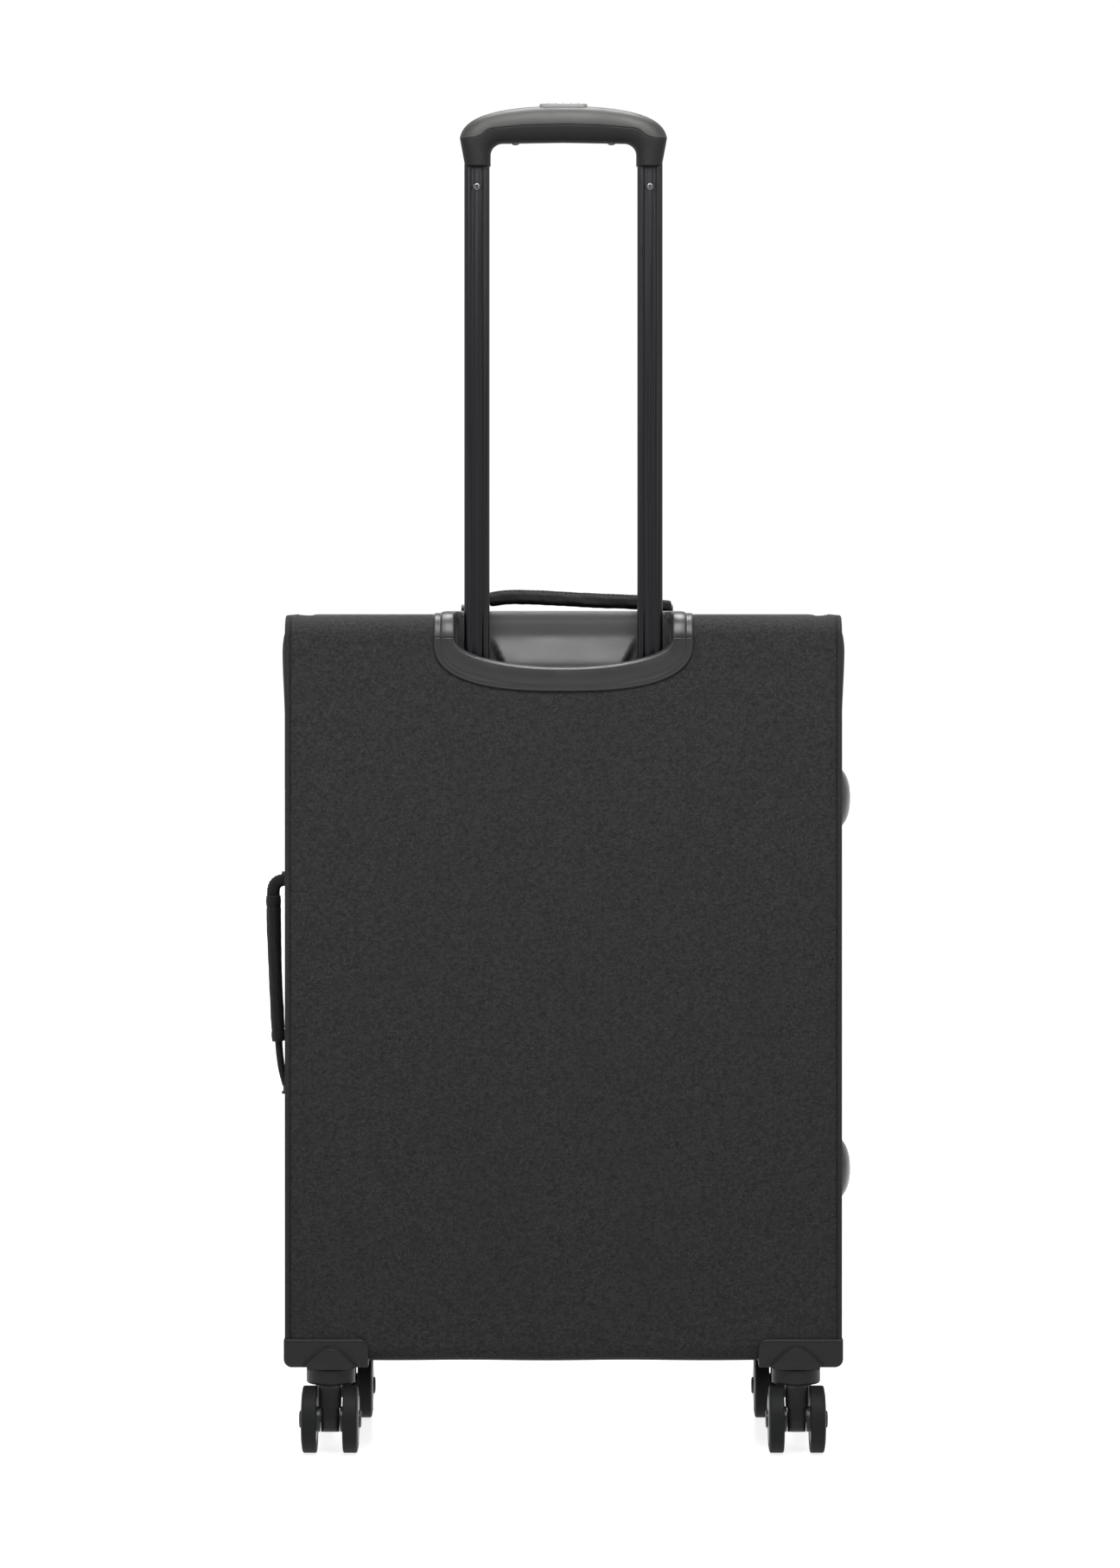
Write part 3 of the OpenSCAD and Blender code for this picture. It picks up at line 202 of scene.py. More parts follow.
def sweep(path, section, side, wrap_path=False, swell=None):
    """A closed section (k x 2: along side, along the normal) carried along a path. The tangent is the central
    difference, the side is made square to it, and the normal is tangent x side. swell scales each ring."""
    p = np.asarray(path, float)
    t = np.roll(p, -1, 0) - np.roll(p, 1, 0) if wrap_path else np.gradient(p, axis=0)
    t /= np.linalg.norm(t, axis=1)[:, None]
    side = np.broadcast_to(np.asarray(side, float), p.shape)
    side = side - (side * t).sum(1)[:, None] * t
    side = side / np.linalg.norm(side, axis=1)[:, None]
    normal = np.cross(t, side)
    scale = np.ones(len(p)) if swell is None else swell
    return p[:, None] + (
        section[None, :, 0, None] * side[:, None] + section[None, :, 1, None] * normal[:, None]
    ) * scale[:, None, None]


def round_section(r, count=14, flat=1.0):
    """Circle of radius r as section points, its second axis scaled by flat."""
    t = np.linspace(0, 2 * math.pi, count, endpoint=False)
    return np.stack([r * np.cos(t), r * flat * np.sin(t)], 1)


def strap_section(w, t, count=28):
    """Flat webbing section w wide and t thick with rolled edges: a superellipse of power 5."""
    return np.stack(power_ring(w / 2, t / 2, 5, count), 1)


def closed_ends(rings, rounding=0.0):
    """Rings with both ends drawn in to a point through three smaller rings, bulged out by rounding sqrt(1 - share^2)."""
    first, last = rings[0], rings[-1]
    c0, c1 = first.mean(0), last.mean(0)
    d0, d1 = c0 - rings[1].mean(0), c1 - rings[-2].mean(0)
    d0, d1 = d0 / np.linalg.norm(d0), d1 / np.linalg.norm(d1)
    shares = np.array([0.92, 0.7, 0.35, 0.0])
    out = rounding * np.sqrt(1 - shares**2)
    head = np.stack([c0 + (first - c0) * q + d0 * o for q, o in zip(shares[::-1], out[::-1])])
    tail = np.stack([c1 + (last - c1) * q + d1 * o for q, o in zip(shares, out)])
    return np.concatenate([head, rings, tail])


def lathe(profile, centre, axis, count=64):
    """Profile points (radius, distance along axis) turned round the axis through centre."""
    prof = np.asarray(profile, float)
    axis = np.asarray(axis, float)
    u = np.array([0, 0, 1.0]) if abs(axis[2]) < 0.9 else np.array([1.0, 0, 0])
    v = np.cross(axis, u)
    t = np.linspace(0, 2 * math.pi, count, endpoint=False)
    round_ = np.cos(t)[:, None] * u + np.sin(t)[:, None] * v
    return np.asarray(centre, float) + prof[:, None, :1] * round_[None] + prof[:, None, 1:] * axis


def smooth_profile(points, step=0.5):
    """A profile polyline re-spaced at step with its corners rounded a little."""
    p = np.asarray(points, float)
    d = distances(p)
    fine = np.linspace(0, d[-1], max(4, int(d[-1] / step) + 1))
    return soften(at_distances(fine, d, p), 2)


def piece(name, patches, finish, body, replaces=(), wall=0.0, sharp=None, recalc=True, flip=False):
    """Joins patches into one mesh in metres, merges doubles, turns the faces outwards and puts it on its CAD body."""
    verts, faces, uvs, start = [], [], [], 0
    for v, f, uv in patches:
        verts.append(v)
        faces.append(f + start)
        uvs.append(uv)
        start += len(v)
    verts = np.concatenate(verts) * MM
    faces = np.concatenate(faces)
    mesh = bpy.data.meshes.new(name)
    mesh.from_pydata(verts.tolist(), [], faces.tolist())
    layer = mesh.uv_layers.new(name="UVMap")
    layer.data.foreach_set("uv", np.concatenate(uvs).astype(np.float32).ravel())
    work = bmesh.new()
    work.from_mesh(mesh)
    bmesh.ops.remove_doubles(work, verts=work.verts, dist=2e-6)
    if recalc:
        bmesh.ops.recalc_face_normals(work, faces=work.faces)
    if flip:
        bmesh.ops.reverse_faces(work, faces=work.faces)
    work.to_mesh(mesh)
    work.free()
    mesh.polygons.foreach_set("use_smooth", np.ones(len(mesh.polygons), bool))
    if sharp:
        mesh.set_sharp_from_angle(angle=math.radians(sharp))
    mesh.materials.append(finish)
    made = bpy.data.objects.new(name, mesh)
    bpy.context.scene.collection.objects.link(made)
    if wall:
        solid = made.modifiers.new("wall", "SOLIDIFY")
        solid.thickness = wall * MM
        solid.offset = -1
    if body:
        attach(made, body)
    if replaces:
        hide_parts(*replaces)
    return made


# ---------- finishes ----------


def shader(name, colour, rough, **sockets):
    """A new node material: its tree and its Principled shader with the plain numbers set."""
    made = bpy.data.materials.new(name)
    made.use_nodes = True
    tree = made.node_tree
    bsdf = tree.nodes["Principled BSDF"]
    bsdf.inputs["Base Color"].default_value = (*colour, 1)
    bsdf.inputs["Roughness"].default_value = rough
    for key, value in sockets.items():
        bsdf.inputs[key.replace("_", " ")].default_value = value
    return made, tree, bsdf


def node(tree, kind, settings=None, **inputs):
    """A node of a kind; an input given as a socket is linked and a plain value is set."""
    made = tree.nodes.new(kind)
    for key, value in (settings or {}).items():
        setattr(made, key, value)
    for key, value in inputs.items():
        socket = made.inputs[int(key[1:])] if key[0] == "i" and key[1:].isdigit() else made.inputs[key.replace("_", " ")]
        if isinstance(value, bpy.types.NodeSocket):
            tree.links.new(value, socket)
        else:
            socket.default_value = value
    return made


def sums(tree, how, a, b=0.0, c=0.0):
    """One Math node."""
    return node(tree, "ShaderNodeMath", {"operation": how}, i0=a, i1=b, i2=c).outputs[0]


def object_noise(tree, scale, detail=3.0, stretch=(1, 1, 1)):
    """Noise in object coordinates with scale waves a metre."""
    where = node(tree, "ShaderNodeTexCoord").outputs["Object"]
    if stretch != (1, 1, 1):
        where = node(tree, "ShaderNodeMapping", Vector=where, Scale=stretch).outputs[0]
    return node(tree, "ShaderNodeTexNoise", Vector=where, Scale=scale, Detail=detail).outputs[0]


def tinted(tree, bsdf, factor, colour, spread):
    """Base colour that a factor takes from spread darker to spread lighter than the given one."""
    dark, light = ((*(min(1.0, c * by) for c in colour), 1) for by in (1 - spread, 1 + spread))
    mix = node(tree, "ShaderNodeMix", {"data_type": "RGBA"}, i0=factor, i6=dark, i7=light)
    tree.links.new(mix.outputs[2], bsdf.inputs["Base Color"])


def rubbed(tree, bsdf, factor, smooth, dull):
    """Roughness between smooth and dull by the middle of a noise."""
    made = node(tree, "ShaderNodeMapRange", Value=factor, From_Min=0.3, From_Max=0.7, To_Min=smooth, To_Max=dull)
    tree.links.new(made.outputs[0], bsdf.inputs["Roughness"])


def bumped(tree, bsdf, depth, distance, height):
    """Bump of a height, distance metres high."""
    made = node(tree, "ShaderNodeBump", Strength=depth, Distance=distance, Height=height)
    tree.links.new(made.outputs[0], bsdf.inputs["Normal"])


def woven(name, colour, pitch=1.1, depth=0.25, rough=0.85, contrast=0.3, sheen=0.02, specks=0.5, twill=True):
    """Woven cloth on the piece's own UVs in metres: warp and weft are two sines, and a third on the diagonal makes
    the twill. Object noise mottles the colour, streaks it along the threads and scatters lighter fibre ends."""
    made, tree, bsdf = shader(name, colour, rough, Sheen_Weight=sheen, Sheen_Roughness=0.6, Specular_IOR_Level=0.12)
    uv = node(tree, "ShaderNodeSeparateXYZ", Vector=node(tree, "ShaderNodeUVMap", {"uv_map": "UVMap"}).outputs[0])
    k = 2 * math.pi / (pitch * MM)
    u, v = (sums(tree, "MULTIPLY", uv.outputs[n], k) for n in (0, 1))
    warp, weft = (sums(tree, "MULTIPLY", sums(tree, "SINE", a), 0.25) for a in (u, v))
    lay = sums(tree, "ADD", warp, weft)
    if twill:
        slant = sums(tree, "SINE", sums(tree, "MULTIPLY", sums(tree, "ADD", u, v), 0.5))
        lay = sums(tree, "ADD", lay, sums(tree, "MULTIPLY", slant, 0.35))
    height = sums(tree, "MULTIPLY_ADD", lay, 0.5, 0.5)
    mottle = sums(tree, "MULTIPLY_ADD", object_noise(tree, 420.0, 3.0), 2.4, -0.7)
    thread = sums(tree, "MULTIPLY_ADD", object_noise(tree, 620.0, 1.0, (0.35, 0.35, 1)), 2.0, -0.5)
    fibre = sums(tree, "MULTIPLY", sums(tree, "GREATER_THAN", object_noise(tree, 900.0, 1.0), 0.64), specks)
    tone = sums(tree, "ADD", sums(tree, "MULTIPLY", height, 0.35), sums(tree, "MULTIPLY", mottle, 0.4))
    tone = sums(tree, "ADD", sums(tree, "MULTIPLY_ADD", thread, 0.2, tone), fibre)
    tinted(tree, bsdf, node(tree, "ShaderNodeClamp", Value=tone).outputs[0], colour, contrast)
    bumped(tree, bsdf, depth, 0.0004, sums(tree, "ADD", height, sums(tree, "MULTIPLY", mottle, 0.6)))
    return made


def moulded(name, colour, rough=0.5, grain=2600.0, depth=0.12, coat=0.0, wear=0.15, shine=0.4):
    """Moulded plastic: fine spark-eroded grain from noise as bump, roughness that wanders, and a faint scuffed tone."""
    made, tree, bsdf = shader(name, colour, rough, Coat_Weight=coat, Coat_Roughness=0.3, Specular_IOR_Level=shine)
    pits = object_noise(tree, grain, 2.0)
    wander = object_noise(tree, 46.0, 3.0)
    rubbed(tree, bsdf, wander, rough - 0.06, rough + 0.06)
    tone = sums(tree, "ADD", sums(tree, "MULTIPLY", pits, 0.6), sums(tree, "MULTIPLY", wander, 0.4))
    tinted(tree, bsdf, tone, colour, wear)
    bumped(tree, bsdf, depth, 0.0003, pits)
    return made


def metal(name, colour, rough=0.3, brush=(1, 1, 0.02), depth=0.05):
    """Metal with drawn lines along one axis: stretched noise drives roughness and a slight bump."""
    made, tree, bsdf = shader(name, colour, rough, Metallic=1.0)
    lines = object_noise(tree, 1400.0, 2.0, brush)
    rubbed(tree, bsdf, lines, rough - 0.06, rough + 0.08)
    tinted(tree, bsdf, lines, colour, 0.05)
    bumped(tree, bsdf, depth, 0.0002, lines)
    return made


CHARCOAL = (0.0156, 0.0156, 0.0163)
SHELL_CLOTH = woven("charcoal_twill", CHARCOAL, pitch=1.4, contrast=0.85, depth=0.5)
EDGE_CLOTH = woven("edge_binding", (0.016, 0.016, 0.017), pitch=0.8, twill=False, specks=0.2)
WEBBING = woven("ribbed_webbing", (0.015, 0.015, 0.016), pitch=1.7, depth=0.6, twill=False, specks=0.2, rough=0.75)
PAD_CLOTH = woven("handle_cloth", (0.016, 0.016, 0.0165), pitch=0.9, depth=0.3, specks=0.3)
ZIP_TAPE = woven("zip_tape", (0.016, 0.016, 0.017), pitch=1.0, depth=0.4, specks=0.1)
LINING_CLOTH = woven(
    "lining_cloth", (0.10, 0.105, 0.115), pitch=0.6, depth=0.15, rough=0.6, sheen=0.4, twill=False, specks=0.1
)
MESH_CLOTH = woven("mesh_cloth", (0.05, 0.05, 0.055), pitch=2.4, depth=0.9, twill=False, specks=0.0)
ELASTIC = woven("elastic_strap", (0.03, 0.03, 0.032), pitch=1.3, depth=0.5, twill=False, specks=0.1)
THREAD = woven("thread", (0.016, 0.016, 0.017), pitch=0.5, depth=0.3, twill=False, specks=0.0, rough=0.6)
TRIM_PLASTIC = moulded("trim_plastic", (0.0145, 0.0145, 0.0154), rough=0.36, grain=2300.0, depth=0.16)
CUP_PLASTIC = moulded("cup_plastic", (0.034, 0.034, 0.035), rough=0.5, grain=1500.0, depth=0.34)
GRIP_PLASTIC = moulded("grip_plastic", (0.007, 0.007, 0.0074), shine=0.15, rough=0.6, grain=1800.0, depth=0.25)
COVER_PLASTIC = moulded("cover_plastic", (0.014, 0.0135, 0.0125), rough=0.5, grain=700.0, depth=0.25, wear=0.6)
BUTTON_PLASTIC = moulded("button_plastic", (0.09, 0.088, 0.088), rough=0.38, grain=2600.0, depth=0.08)
STUD_PLASTIC = moulded("stud_plastic", (0.015, 0.015, 0.016), rough=0.3, grain=3000.0, depth=0.05, coat=0.15)
CASTER_PLASTIC = moulded("caster_plastic", (0.012, 0.012, 0.013), shine=0.2, rough=0.42, grain=2400.0, depth=0.12)
INNER_PLASTIC = moulded("inner_plastic", (0.04, 0.04, 0.042), rough=0.55, grain=1600.0, depth=0.2)
TYRE = moulded("tyre_rubber", (0.009, 0.0095, 0.0095), shine=0.12, rough=0.6, grain=900.0, depth=0.2, wear=0.35)
RIM = moulded("rim_plastic", (0.019, 0.019, 0.0205), rough=0.36, grain=2400.0, depth=0.08)
BOARD = moulded("panel_board", (0.2, 0.2, 0.21), rough=0.6, grain=500.0, depth=0.3, wear=0.2)
BLACK_TUBE = metal("black_tube", (0.038, 0.038, 0.041), rough=0.3, brush=(1, 1, 0.004), depth=0.0)
STEEL = metal("plated_steel", (0.45, 0.45, 0.46), rough=0.28)
DARK_STEEL = metal("dark_steel", (0.11, 0.11, 0.115), rough=0.22, brush=(1, 1, 1))
ZIP_METAL = metal("gunmetal", (0.11, 0.11, 0.12), rough=0.3, brush=(1, 1, 1))
COIL_NYLON = moulded("coil_nylon", (0.02, 0.02, 0.022), rough=0.35, grain=3000.0, depth=0.05)


# ---------- body cloth ----------

# Places across the back: edge of the cloth, middle of the edge cord, row of stitches
CLOTH_X, CORD_X, STITCH_X = 216.1, 217.8, 212.6
# Half width of the bezel, and the drop and power of the bow of its outer outline
BEZEL_X, BOW_DROP, BOW_POWER = 103.0, 42.0, 2.7


def bezel_gap(x, s):
    """Roughly how far (mm) a point lies outside the bezel's outline: superellipse level set below, straight above."""
    below = ((np.abs(x) / BEZEL_X) ** BOW_POWER + (np.maximum(s - S_BACK, 0) / BOW_DROP) ** BOW_POWER) ** (1 / BOW_POWER)
    return np.where(s > FRONT + 33, np.maximum((below - 1) * np.where(s > S_BACK, 60.0, BEZEL_X), 0), 50.0)


def back_cloth():
    """One piece of cloth round the body: x across, s along the side outline. It swells by a low cosine across,
    ripples faintly, sinks into the groove beside the edge cords and beside the bezel, and stands up a little inside
    the groove. Quads inside the bezel are left out."""
    rim = np.array([0, 0.7, 1.6, 2.8])
    x = np.concatenate([rim - CLOTH_X, np.linspace(4.2 - CLOTH_X, CLOTH_X - 4.2, 161), CLOTH_X - rim[::-1]])
    xx, ss = np.meshgrid(x, outline_stations(0, S_END, 3.0, 16, 12))
    near = CLOTH_X - np.abs(xx)
    lift = -1.3 * ease((112 - ss) / 50) + 1.5 * ease((ss - S_BOTTOM_BEND - 4) / 14)
    lift = lift + 0.4 * np.cos(xx / CLOTH_X * QUARTER) ** 0.6 + 0.25 * ripple(xx, ss, 90, 3)
    lift = lift - 1.5 * np.exp(-((near / 1.1) ** 2)) - 0.9 * np.exp(-((bezel_gap(xx, ss) / 1.6) ** 2))
    lift = lift + 0.35 * np.exp(-(((near - 6) / 3) ** 2))
    y, z = body_line(ss, lift)
    mid_x, mid_s = (a[:-1, :-1] * 0.25 + a[1:, :-1] * 0.25 + a[:-1, 1:] * 0.25 + a[1:, 1:] * 0.25 for a in (xx, ss))
    below = S_BACK + np.interp(np.abs(mid_x), [0, 60, 80, 92, 96], [30, 27, 20, 2, -10])
    inside = (np.abs(mid_x) < 95) & (mid_s > FRONT + 43) & (mid_s < below)
    return join(xx, y, z), ~inside


def side_cloth(side):
    """A side panel: y across and z up, the back edge following the outline's bends. It swells near the top,
    sinks at its edges and ripples faintly."""
    inset = 4.8
    z = [np.linspace(BOTTOM + inset, BOTTOM + 14, 8), np.arange(BOTTOM + 14, TOP - 22, 4.0)]
    z = np.unique(np.concatenate(z + [np.linspace(TOP - 22, TOP - inset, 14)]))
    q = ease(np.linspace(0, 1, 60)) * 0.4 + np.linspace(0, 1, 60) * 0.6
    up = np.clip(z - (TOP - BEND_TOP), 0, BEND_TOP - inset)
    down = np.clip((BOTTOM + BEND_BOTTOM) - z, 0, BEND_BOTTOM - inset)
    back, low = (
        BACK + bend - np.sqrt(np.maximum((bend - inset) ** 2 - past**2, 0))
        for bend, past in ((BEND_TOP, up), (BEND_BOTTOM, down))
    )
    back = np.where(down > 0, low, back)
    y = back[:, None] + (FRONT - back)[:, None] * q[None]
    zz = np.broadcast_to(z[:, None], y.shape)
    near = np.minimum.reduce([y - back[:, None], zz - BOTTOM - inset, TOP - inset - zz])
    out = 1.1 * ease(near / 14) - 2.0 * np.exp(-((near / 2.2) ** 2)) + 0.3 * ripple(y, zz, 80, 11 + int(side))
    swell = np.exp(-((np.maximum(632 - zz, 0) / 42) ** 2) - (np.maximum(zz - 632, 0) / 16) ** 2)
    out = out + 2.6 * swell * ease(near / 12) * ease((FRONT - y) / 20)
    return join(side * (HALF_W + 0.2 + np.minimum(out, 4.0)), y, zz)


def outline_stations(first, last, step, top_count, bottom_count):
    """Distances along the side outline, denser round its two bends."""
    bends = [np.linspace(LEN_TOP, S_BACK, top_count), np.linspace(S_BOTTOM_BEND, S_BOTTOM, bottom_count)]
    return np.unique(np.concatenate([np.arange(first, last, step), *bends, [last]]))


def edge_path(x, lift, first=0.0, last=S_END):
    """The side outline at one x as a path."""
    return join(x, *body_line(outline_stations(first, last, 5.0, 14, 10), lift))


points, keep = back_cloth()
for name, cloth, node_name, flip in (
    ("wrap_cloth", patch(points, keep=keep), "back_wrap", True),
    ("side_cloth_left", patch(side_cloth(-1)), "side_panel_left", True),
    ("side_cloth_right", patch(side_cloth(1)), "side_panel_right", False),
):
    piece(name, [cloth], SHELL_CLOTH, "shell", [node_name], wall=1.6, recalc=False, flip=flip)

cords = [
    hoops(closed_ends(sweep(edge_path(side * CORD_X, -1.3), round_section(1.9, 16), (1, 0, 0)), 1.0)) for side in (-1, 1)
]
piece("edge_cord", cords, EDGE_CLOTH, "shell", ["edge_piping"])


def stitch_row(path, across, length=3.2, gap=1.4, thick=0.45):
    """A row of separate thread stitches along a path, each a short six-sided spindle standing half out of the cloth.
    The direction across is square to the path all along it; the third direction is across x run."""
    d = distances(path)
    starts = np.arange(gap, d[-1] - length, length + gap)
    q = at_distances(starts[:, None] + length * np.linspace(0, 1, 4)[None], d, path)
    run = q[:, -1] - q[:, 0]
    run /= np.linalg.norm(run, axis=1)[:, None]
    across = np.broadcast_to(np.asarray(across, float), run.shape)
    up = np.cross(across, run)
    up /= np.linalg.norm(up, axis=1)[:, None]
    turn = np.linspace(0, 2 * math.pi, 6, endpoint=False)[None, None, :, None]
    size = thick * np.array([0.35, 1, 1, 0.35])[None, :, None, None]
    ring = q[:, :, None] + size * (np.cos(turn) * across[:, None, None] + np.sin(turn) * up[:, None, None])
    i, j = np.meshgrid(np.arange(3), np.arange(6), indexing="ij")
    j1 = (j + 1) % 6
    quads = np.stack([i * 6 + j, i * 6 + j1, (i + 1) * 6 + j1, (i + 1) * 6 + j], 2).reshape(-1, 4)
    faces = (24 * np.arange(len(starts))[:, None, None] + quads).reshape(-1, 4)
    return ring.reshape(-1, 3), faces, np.zeros((len(faces), 4, 2))


rows = [stitch_row(edge_path(side * STITCH_X, 0.0, 40, S_END - 30), (1, 0, 0), thick=0.3) for side in (-1, 1)]
piece("edge_stitching", rows, THREAD, "shell")

# ---------- bezel and handle cup ----------

MOUTH_X = 85.0
BOW_S = S_BACK
BOW_COUNT = 119
CUP_FLOOR, CUP_FAR = 612.4, -50.4
FAR_OUT, FAR_IN = FRONT + 35.0, FRONT + 50.0


def round_the_mouth(half, drop, power, far, corner, straight):
    """A loop in the unrolled surface (x, s): down the left side, along a superellipse bow, up the right side and
    back across the far edge with two rounded corners. straight lists the stations of the sides."""
    down = np.interp(straight, [0, 1], [far + corner, BOW_S])
    t = np.linspace(math.pi, 0, BOW_COUNT + 2)[1:-1]
    bow_x = half * np.sign(np.cos(t)) * np.abs(np.cos(t)) ** (2 / power)
    bow_s = BOW_S + drop * np.abs(np.sin(t)) ** (2 / power)
    turn = np.linspace(0, QUARTER, 9)[1:-1]
    c, s = corner * np.cos(turn), corner * np.sin(turn)
    across = np.linspace(half - corner, corner - half, 70)
    side = np.full_like(down, half)
    x = [-side, bow_x, side, half - corner + c, across, corner - half - s]
    s = [down, bow_s, down[::-1], far + corner - s, np.full_like(across, far), far + corner - c]
    return np.concatenate(x), np.concatenate(s)


seam_q = 1 - 1.0 / (BOW_S - FAR_OUT - 12)
beside_seam = seam_q + np.array([-0.012, -0.006, -0.003, 0, 0.003, 0.006, 0.012])
stations = np.unique(np.concatenate([np.linspace(0, 1, 44), beside_seam]))
out_x, out_s = round_the_mouth(BEZEL_X, BOW_DROP, BOW_POWER, FAR_OUT, 12.0, stations)
in_x, in_s = round_the_mouth(MOUTH_X, 22.0, 2.0, FAR_IN, 5.0, stations)
count = len(stations)
seam = np.zeros(len(out_x))
for first, q in ((0, stations), (count + BOW_COUNT, stations[::-1])):
    seam[first : first + count] = np.exp(-(((q - seam_q) / 0.0035) ** 2))


def bezel_surface():
    """Band between the outer loop and the mouth: q runs from 0 outside to 1 inside. Its height is a low flange,
    a rounded step, a crowned raised band, and a lip that rolls over into the cup. The two tiers run together toward
    the middle of the bow, and a fine seam crosses the band on each side."""
    bands = [np.linspace(0, 0.3, 9), np.linspace(0.3, 0.42, 10), np.linspace(0.42, 0.86, 10), np.linspace(0.86, 1, 12)]
    q = np.unique(np.concatenate(bands))[:, None]
    height = -1.4 + 3.2 * ease(q / 0.06) ** 0.7 + 1.5 * ease((q - 0.31) / 0.1)
    height = height + 0.45 * np.sin(math.pi * np.clip((q - 0.4) / 0.5, 0, 1)) + 0.5 * np.exp(-(((q - 0.15) / 0.1) ** 2))
    height = height - 5.2 * (1 - np.sqrt(np.maximum(1 - ease((q - 0.86) / 0.14) ** 2, 0)))
    middle = ease(1 - np.abs(out_x) / 74) * (out_s > BOW_S + 5)
    tier = 1.55 * (ease((q - 0.02) / 0.5) - ease((q - 0.31) / 0.1)) * middle
    height = height + tier - 0.8 * seam * (q < 0.97)
    return join(out_x + (in_x - out_x) * q, *body_line(out_s + (in_s - out_s) * q, height))


bezel = bezel_surface()
piece("mouth_bezel", [hoops(bezel)], TRIM_PLASTIC, "shell", ["bezel"])


def cup_surface():
    """Tub under the mouth: each column runs from the mouth's edge down a wall and round into the floor. The far wall
    leans out below a soft break, except beside the two tubes, where it stays back in two slanting recesses."""
    top_x, top_y, top_z = bezel[-1].T
    on_far, near = in_s < FAR_IN + 5.5, in_s > BOW_S
    y_floor = np.where(on_far, -56.0, np.where(near, -90.5, np.clip(FRONT - in_s, -90.0, -56.5)))
    drop = np.linspace(0, 1, 34)[:, None]
    z = top_z + (CUP_FLOOR - top_z) * drop
    y = top_y + (y_floor - top_y) * np.where(near, ease(drop / 0.5), ease(drop / 0.25))
    x = top_x + (np.clip(in_x, -84.0, 84.0) - top_x) * ease(drop / 0.3)
    lean = 10.5 * ease((646 - z) / 26) * ease((59.5 - (646 - z) * 0.45 - np.abs(x)) / 3.5 + 0.5)
    wall = CUP_FAR - lean
    y = np.where(on_far, np.where(drop < 0.12, top_y + (wall - top_y) * ease(drop / 0.12), wall), y)
    walls = join(x, y, z)
    middle = np.array([0.0, TUBE_Y, CUP_FLOOR])
    floor = np.stack([middle + (walls[-1] - middle) * q for q in (0.985, 0.94, 0.8, 0.5, 0.2, 0.0)])
    floor[..., 2] -= np.array([0.3, 0.4, 0.4, 0.4, 0.4, 0.4])[:, None]
    return np.concatenate([walls, floor])


liner = [hoops(cup_surface())]
piece("handle_cup_liner", liner, CUP_PLASTIC, "shell", ["handle_cup"], recalc=False)


def collar(side):
    """Bushing round a tube: rounded-box rings that rise, roll over and drop inside."""
    rings = []
    profile = ((7.2, 612.2), (7.2, 613.9), (6.6, 614.6), (5.6, 614.95), (1.6, 614.95), (1.0, 614.5), (0.9, 612.5))
    for grow, z in profile:
        x, y = round_box_ring(TUBE_W + grow, TUBE_T + grow, 4.5 if grow > 2 else 3.4, 72)
        rings.append(join(x + side * TUBE_X, y + TUBE_Y, z))
    return np.stack(rings)


bushings = [hoops(collar(s)) for s in (-1, 1)]
piece("tube_bushings", bushings, INNER_PLASTIC, "shell", ["guide_collars"])

# ---------- trolley ----------


def fluted_tube(side):
    """Tube section: rounded box whose back face is pressed in by a flute with soft shoulders, carried up in z."""
    x, y = round_box_ring(TUBE_W, TUBE_T, 3.0, 160)
    y = y + (y < -6) * (1.3 * ease((5.3 - np.abs(x)) / 1.1) - 0.45 * ease(1 - np.abs(x) / 4.2))
    z = np.array([522.0, 523.0, 560, 612, 660, 700, 760, 820, 880, 940, 985, 1000, 1017.5])
    return join(x + side * TUBE_X, y + TUBE_Y, z[:, None])


piece("fluted_tubes", [hoops(fluted_tube(s)) for s in (-1, 1)], BLACK_TUBE, "trolley", ["inner_tubes"])


def grip_lines(count=240):
    """Outer and inner outline of the grip (x, height above the leg ends) matched station by station: up the left leg,
    round the shoulder, over the bar and down again. The top is 12 + 35.5 (1 - |x/82.6|^2.3)^(1/3.3), cut at 21.9."""
    u = np.linspace(0, 1, count // 2)
    px = -82.6 * np.cos(np.linspace(0, QUARTER, 400))
    pz = 12 + 35.5 * (1 - np.abs(px / 82.6) ** 2.3) ** (1 / 3.3)
    px, pz = px[pz > 21.9], pz[pz > 21.9]
    leg = np.stack([np.linspace(-78, px[0], 20), np.linspace(0, 21.9, 20)], 1)
    c = np.linspace(0, QUARTER, 30)
    fillet = np.stack([-57.6 + 9.6 * (1 - np.cos(c)), 8.6 + 9.2 * np.sin(c)], 1)
    lines = []
    for line, marks in (
        (np.concatenate([leg, np.stack([px, pz], 1)]), [0, 22, 60]),
        (np.concatenate([[[-57.6, 0], [-57.6, 8.6]], fillet, [[0, 18.6]]]), [0, 7, 23]),
    ):
        d = distances(line)
        at = soften(np.interp(u, [0, 0.2, 0.5, 1], [*marks, d[-1]])[:, None], 30)[:, 0]
        left = at_distances(at, d, line)
        lines.append(np.concatenate([left, (left * [-1, 1])[-2::-1]]))
    return lines


def parting(x):
    """Height of the line between the grip's two mouldings at x."""
    line_x = np.linspace(0, 90, 400)
    line_z = np.interp(line_x, [0, 30, 56, 60, 64, 67, 72, 90], [32, 31.3, 29.0, 27.8, 24.0, 22.4, 21.7, 21.5])
    return np.interp(np.abs(x), line_x, soften(line_z[:, None], 60)[:, 0])


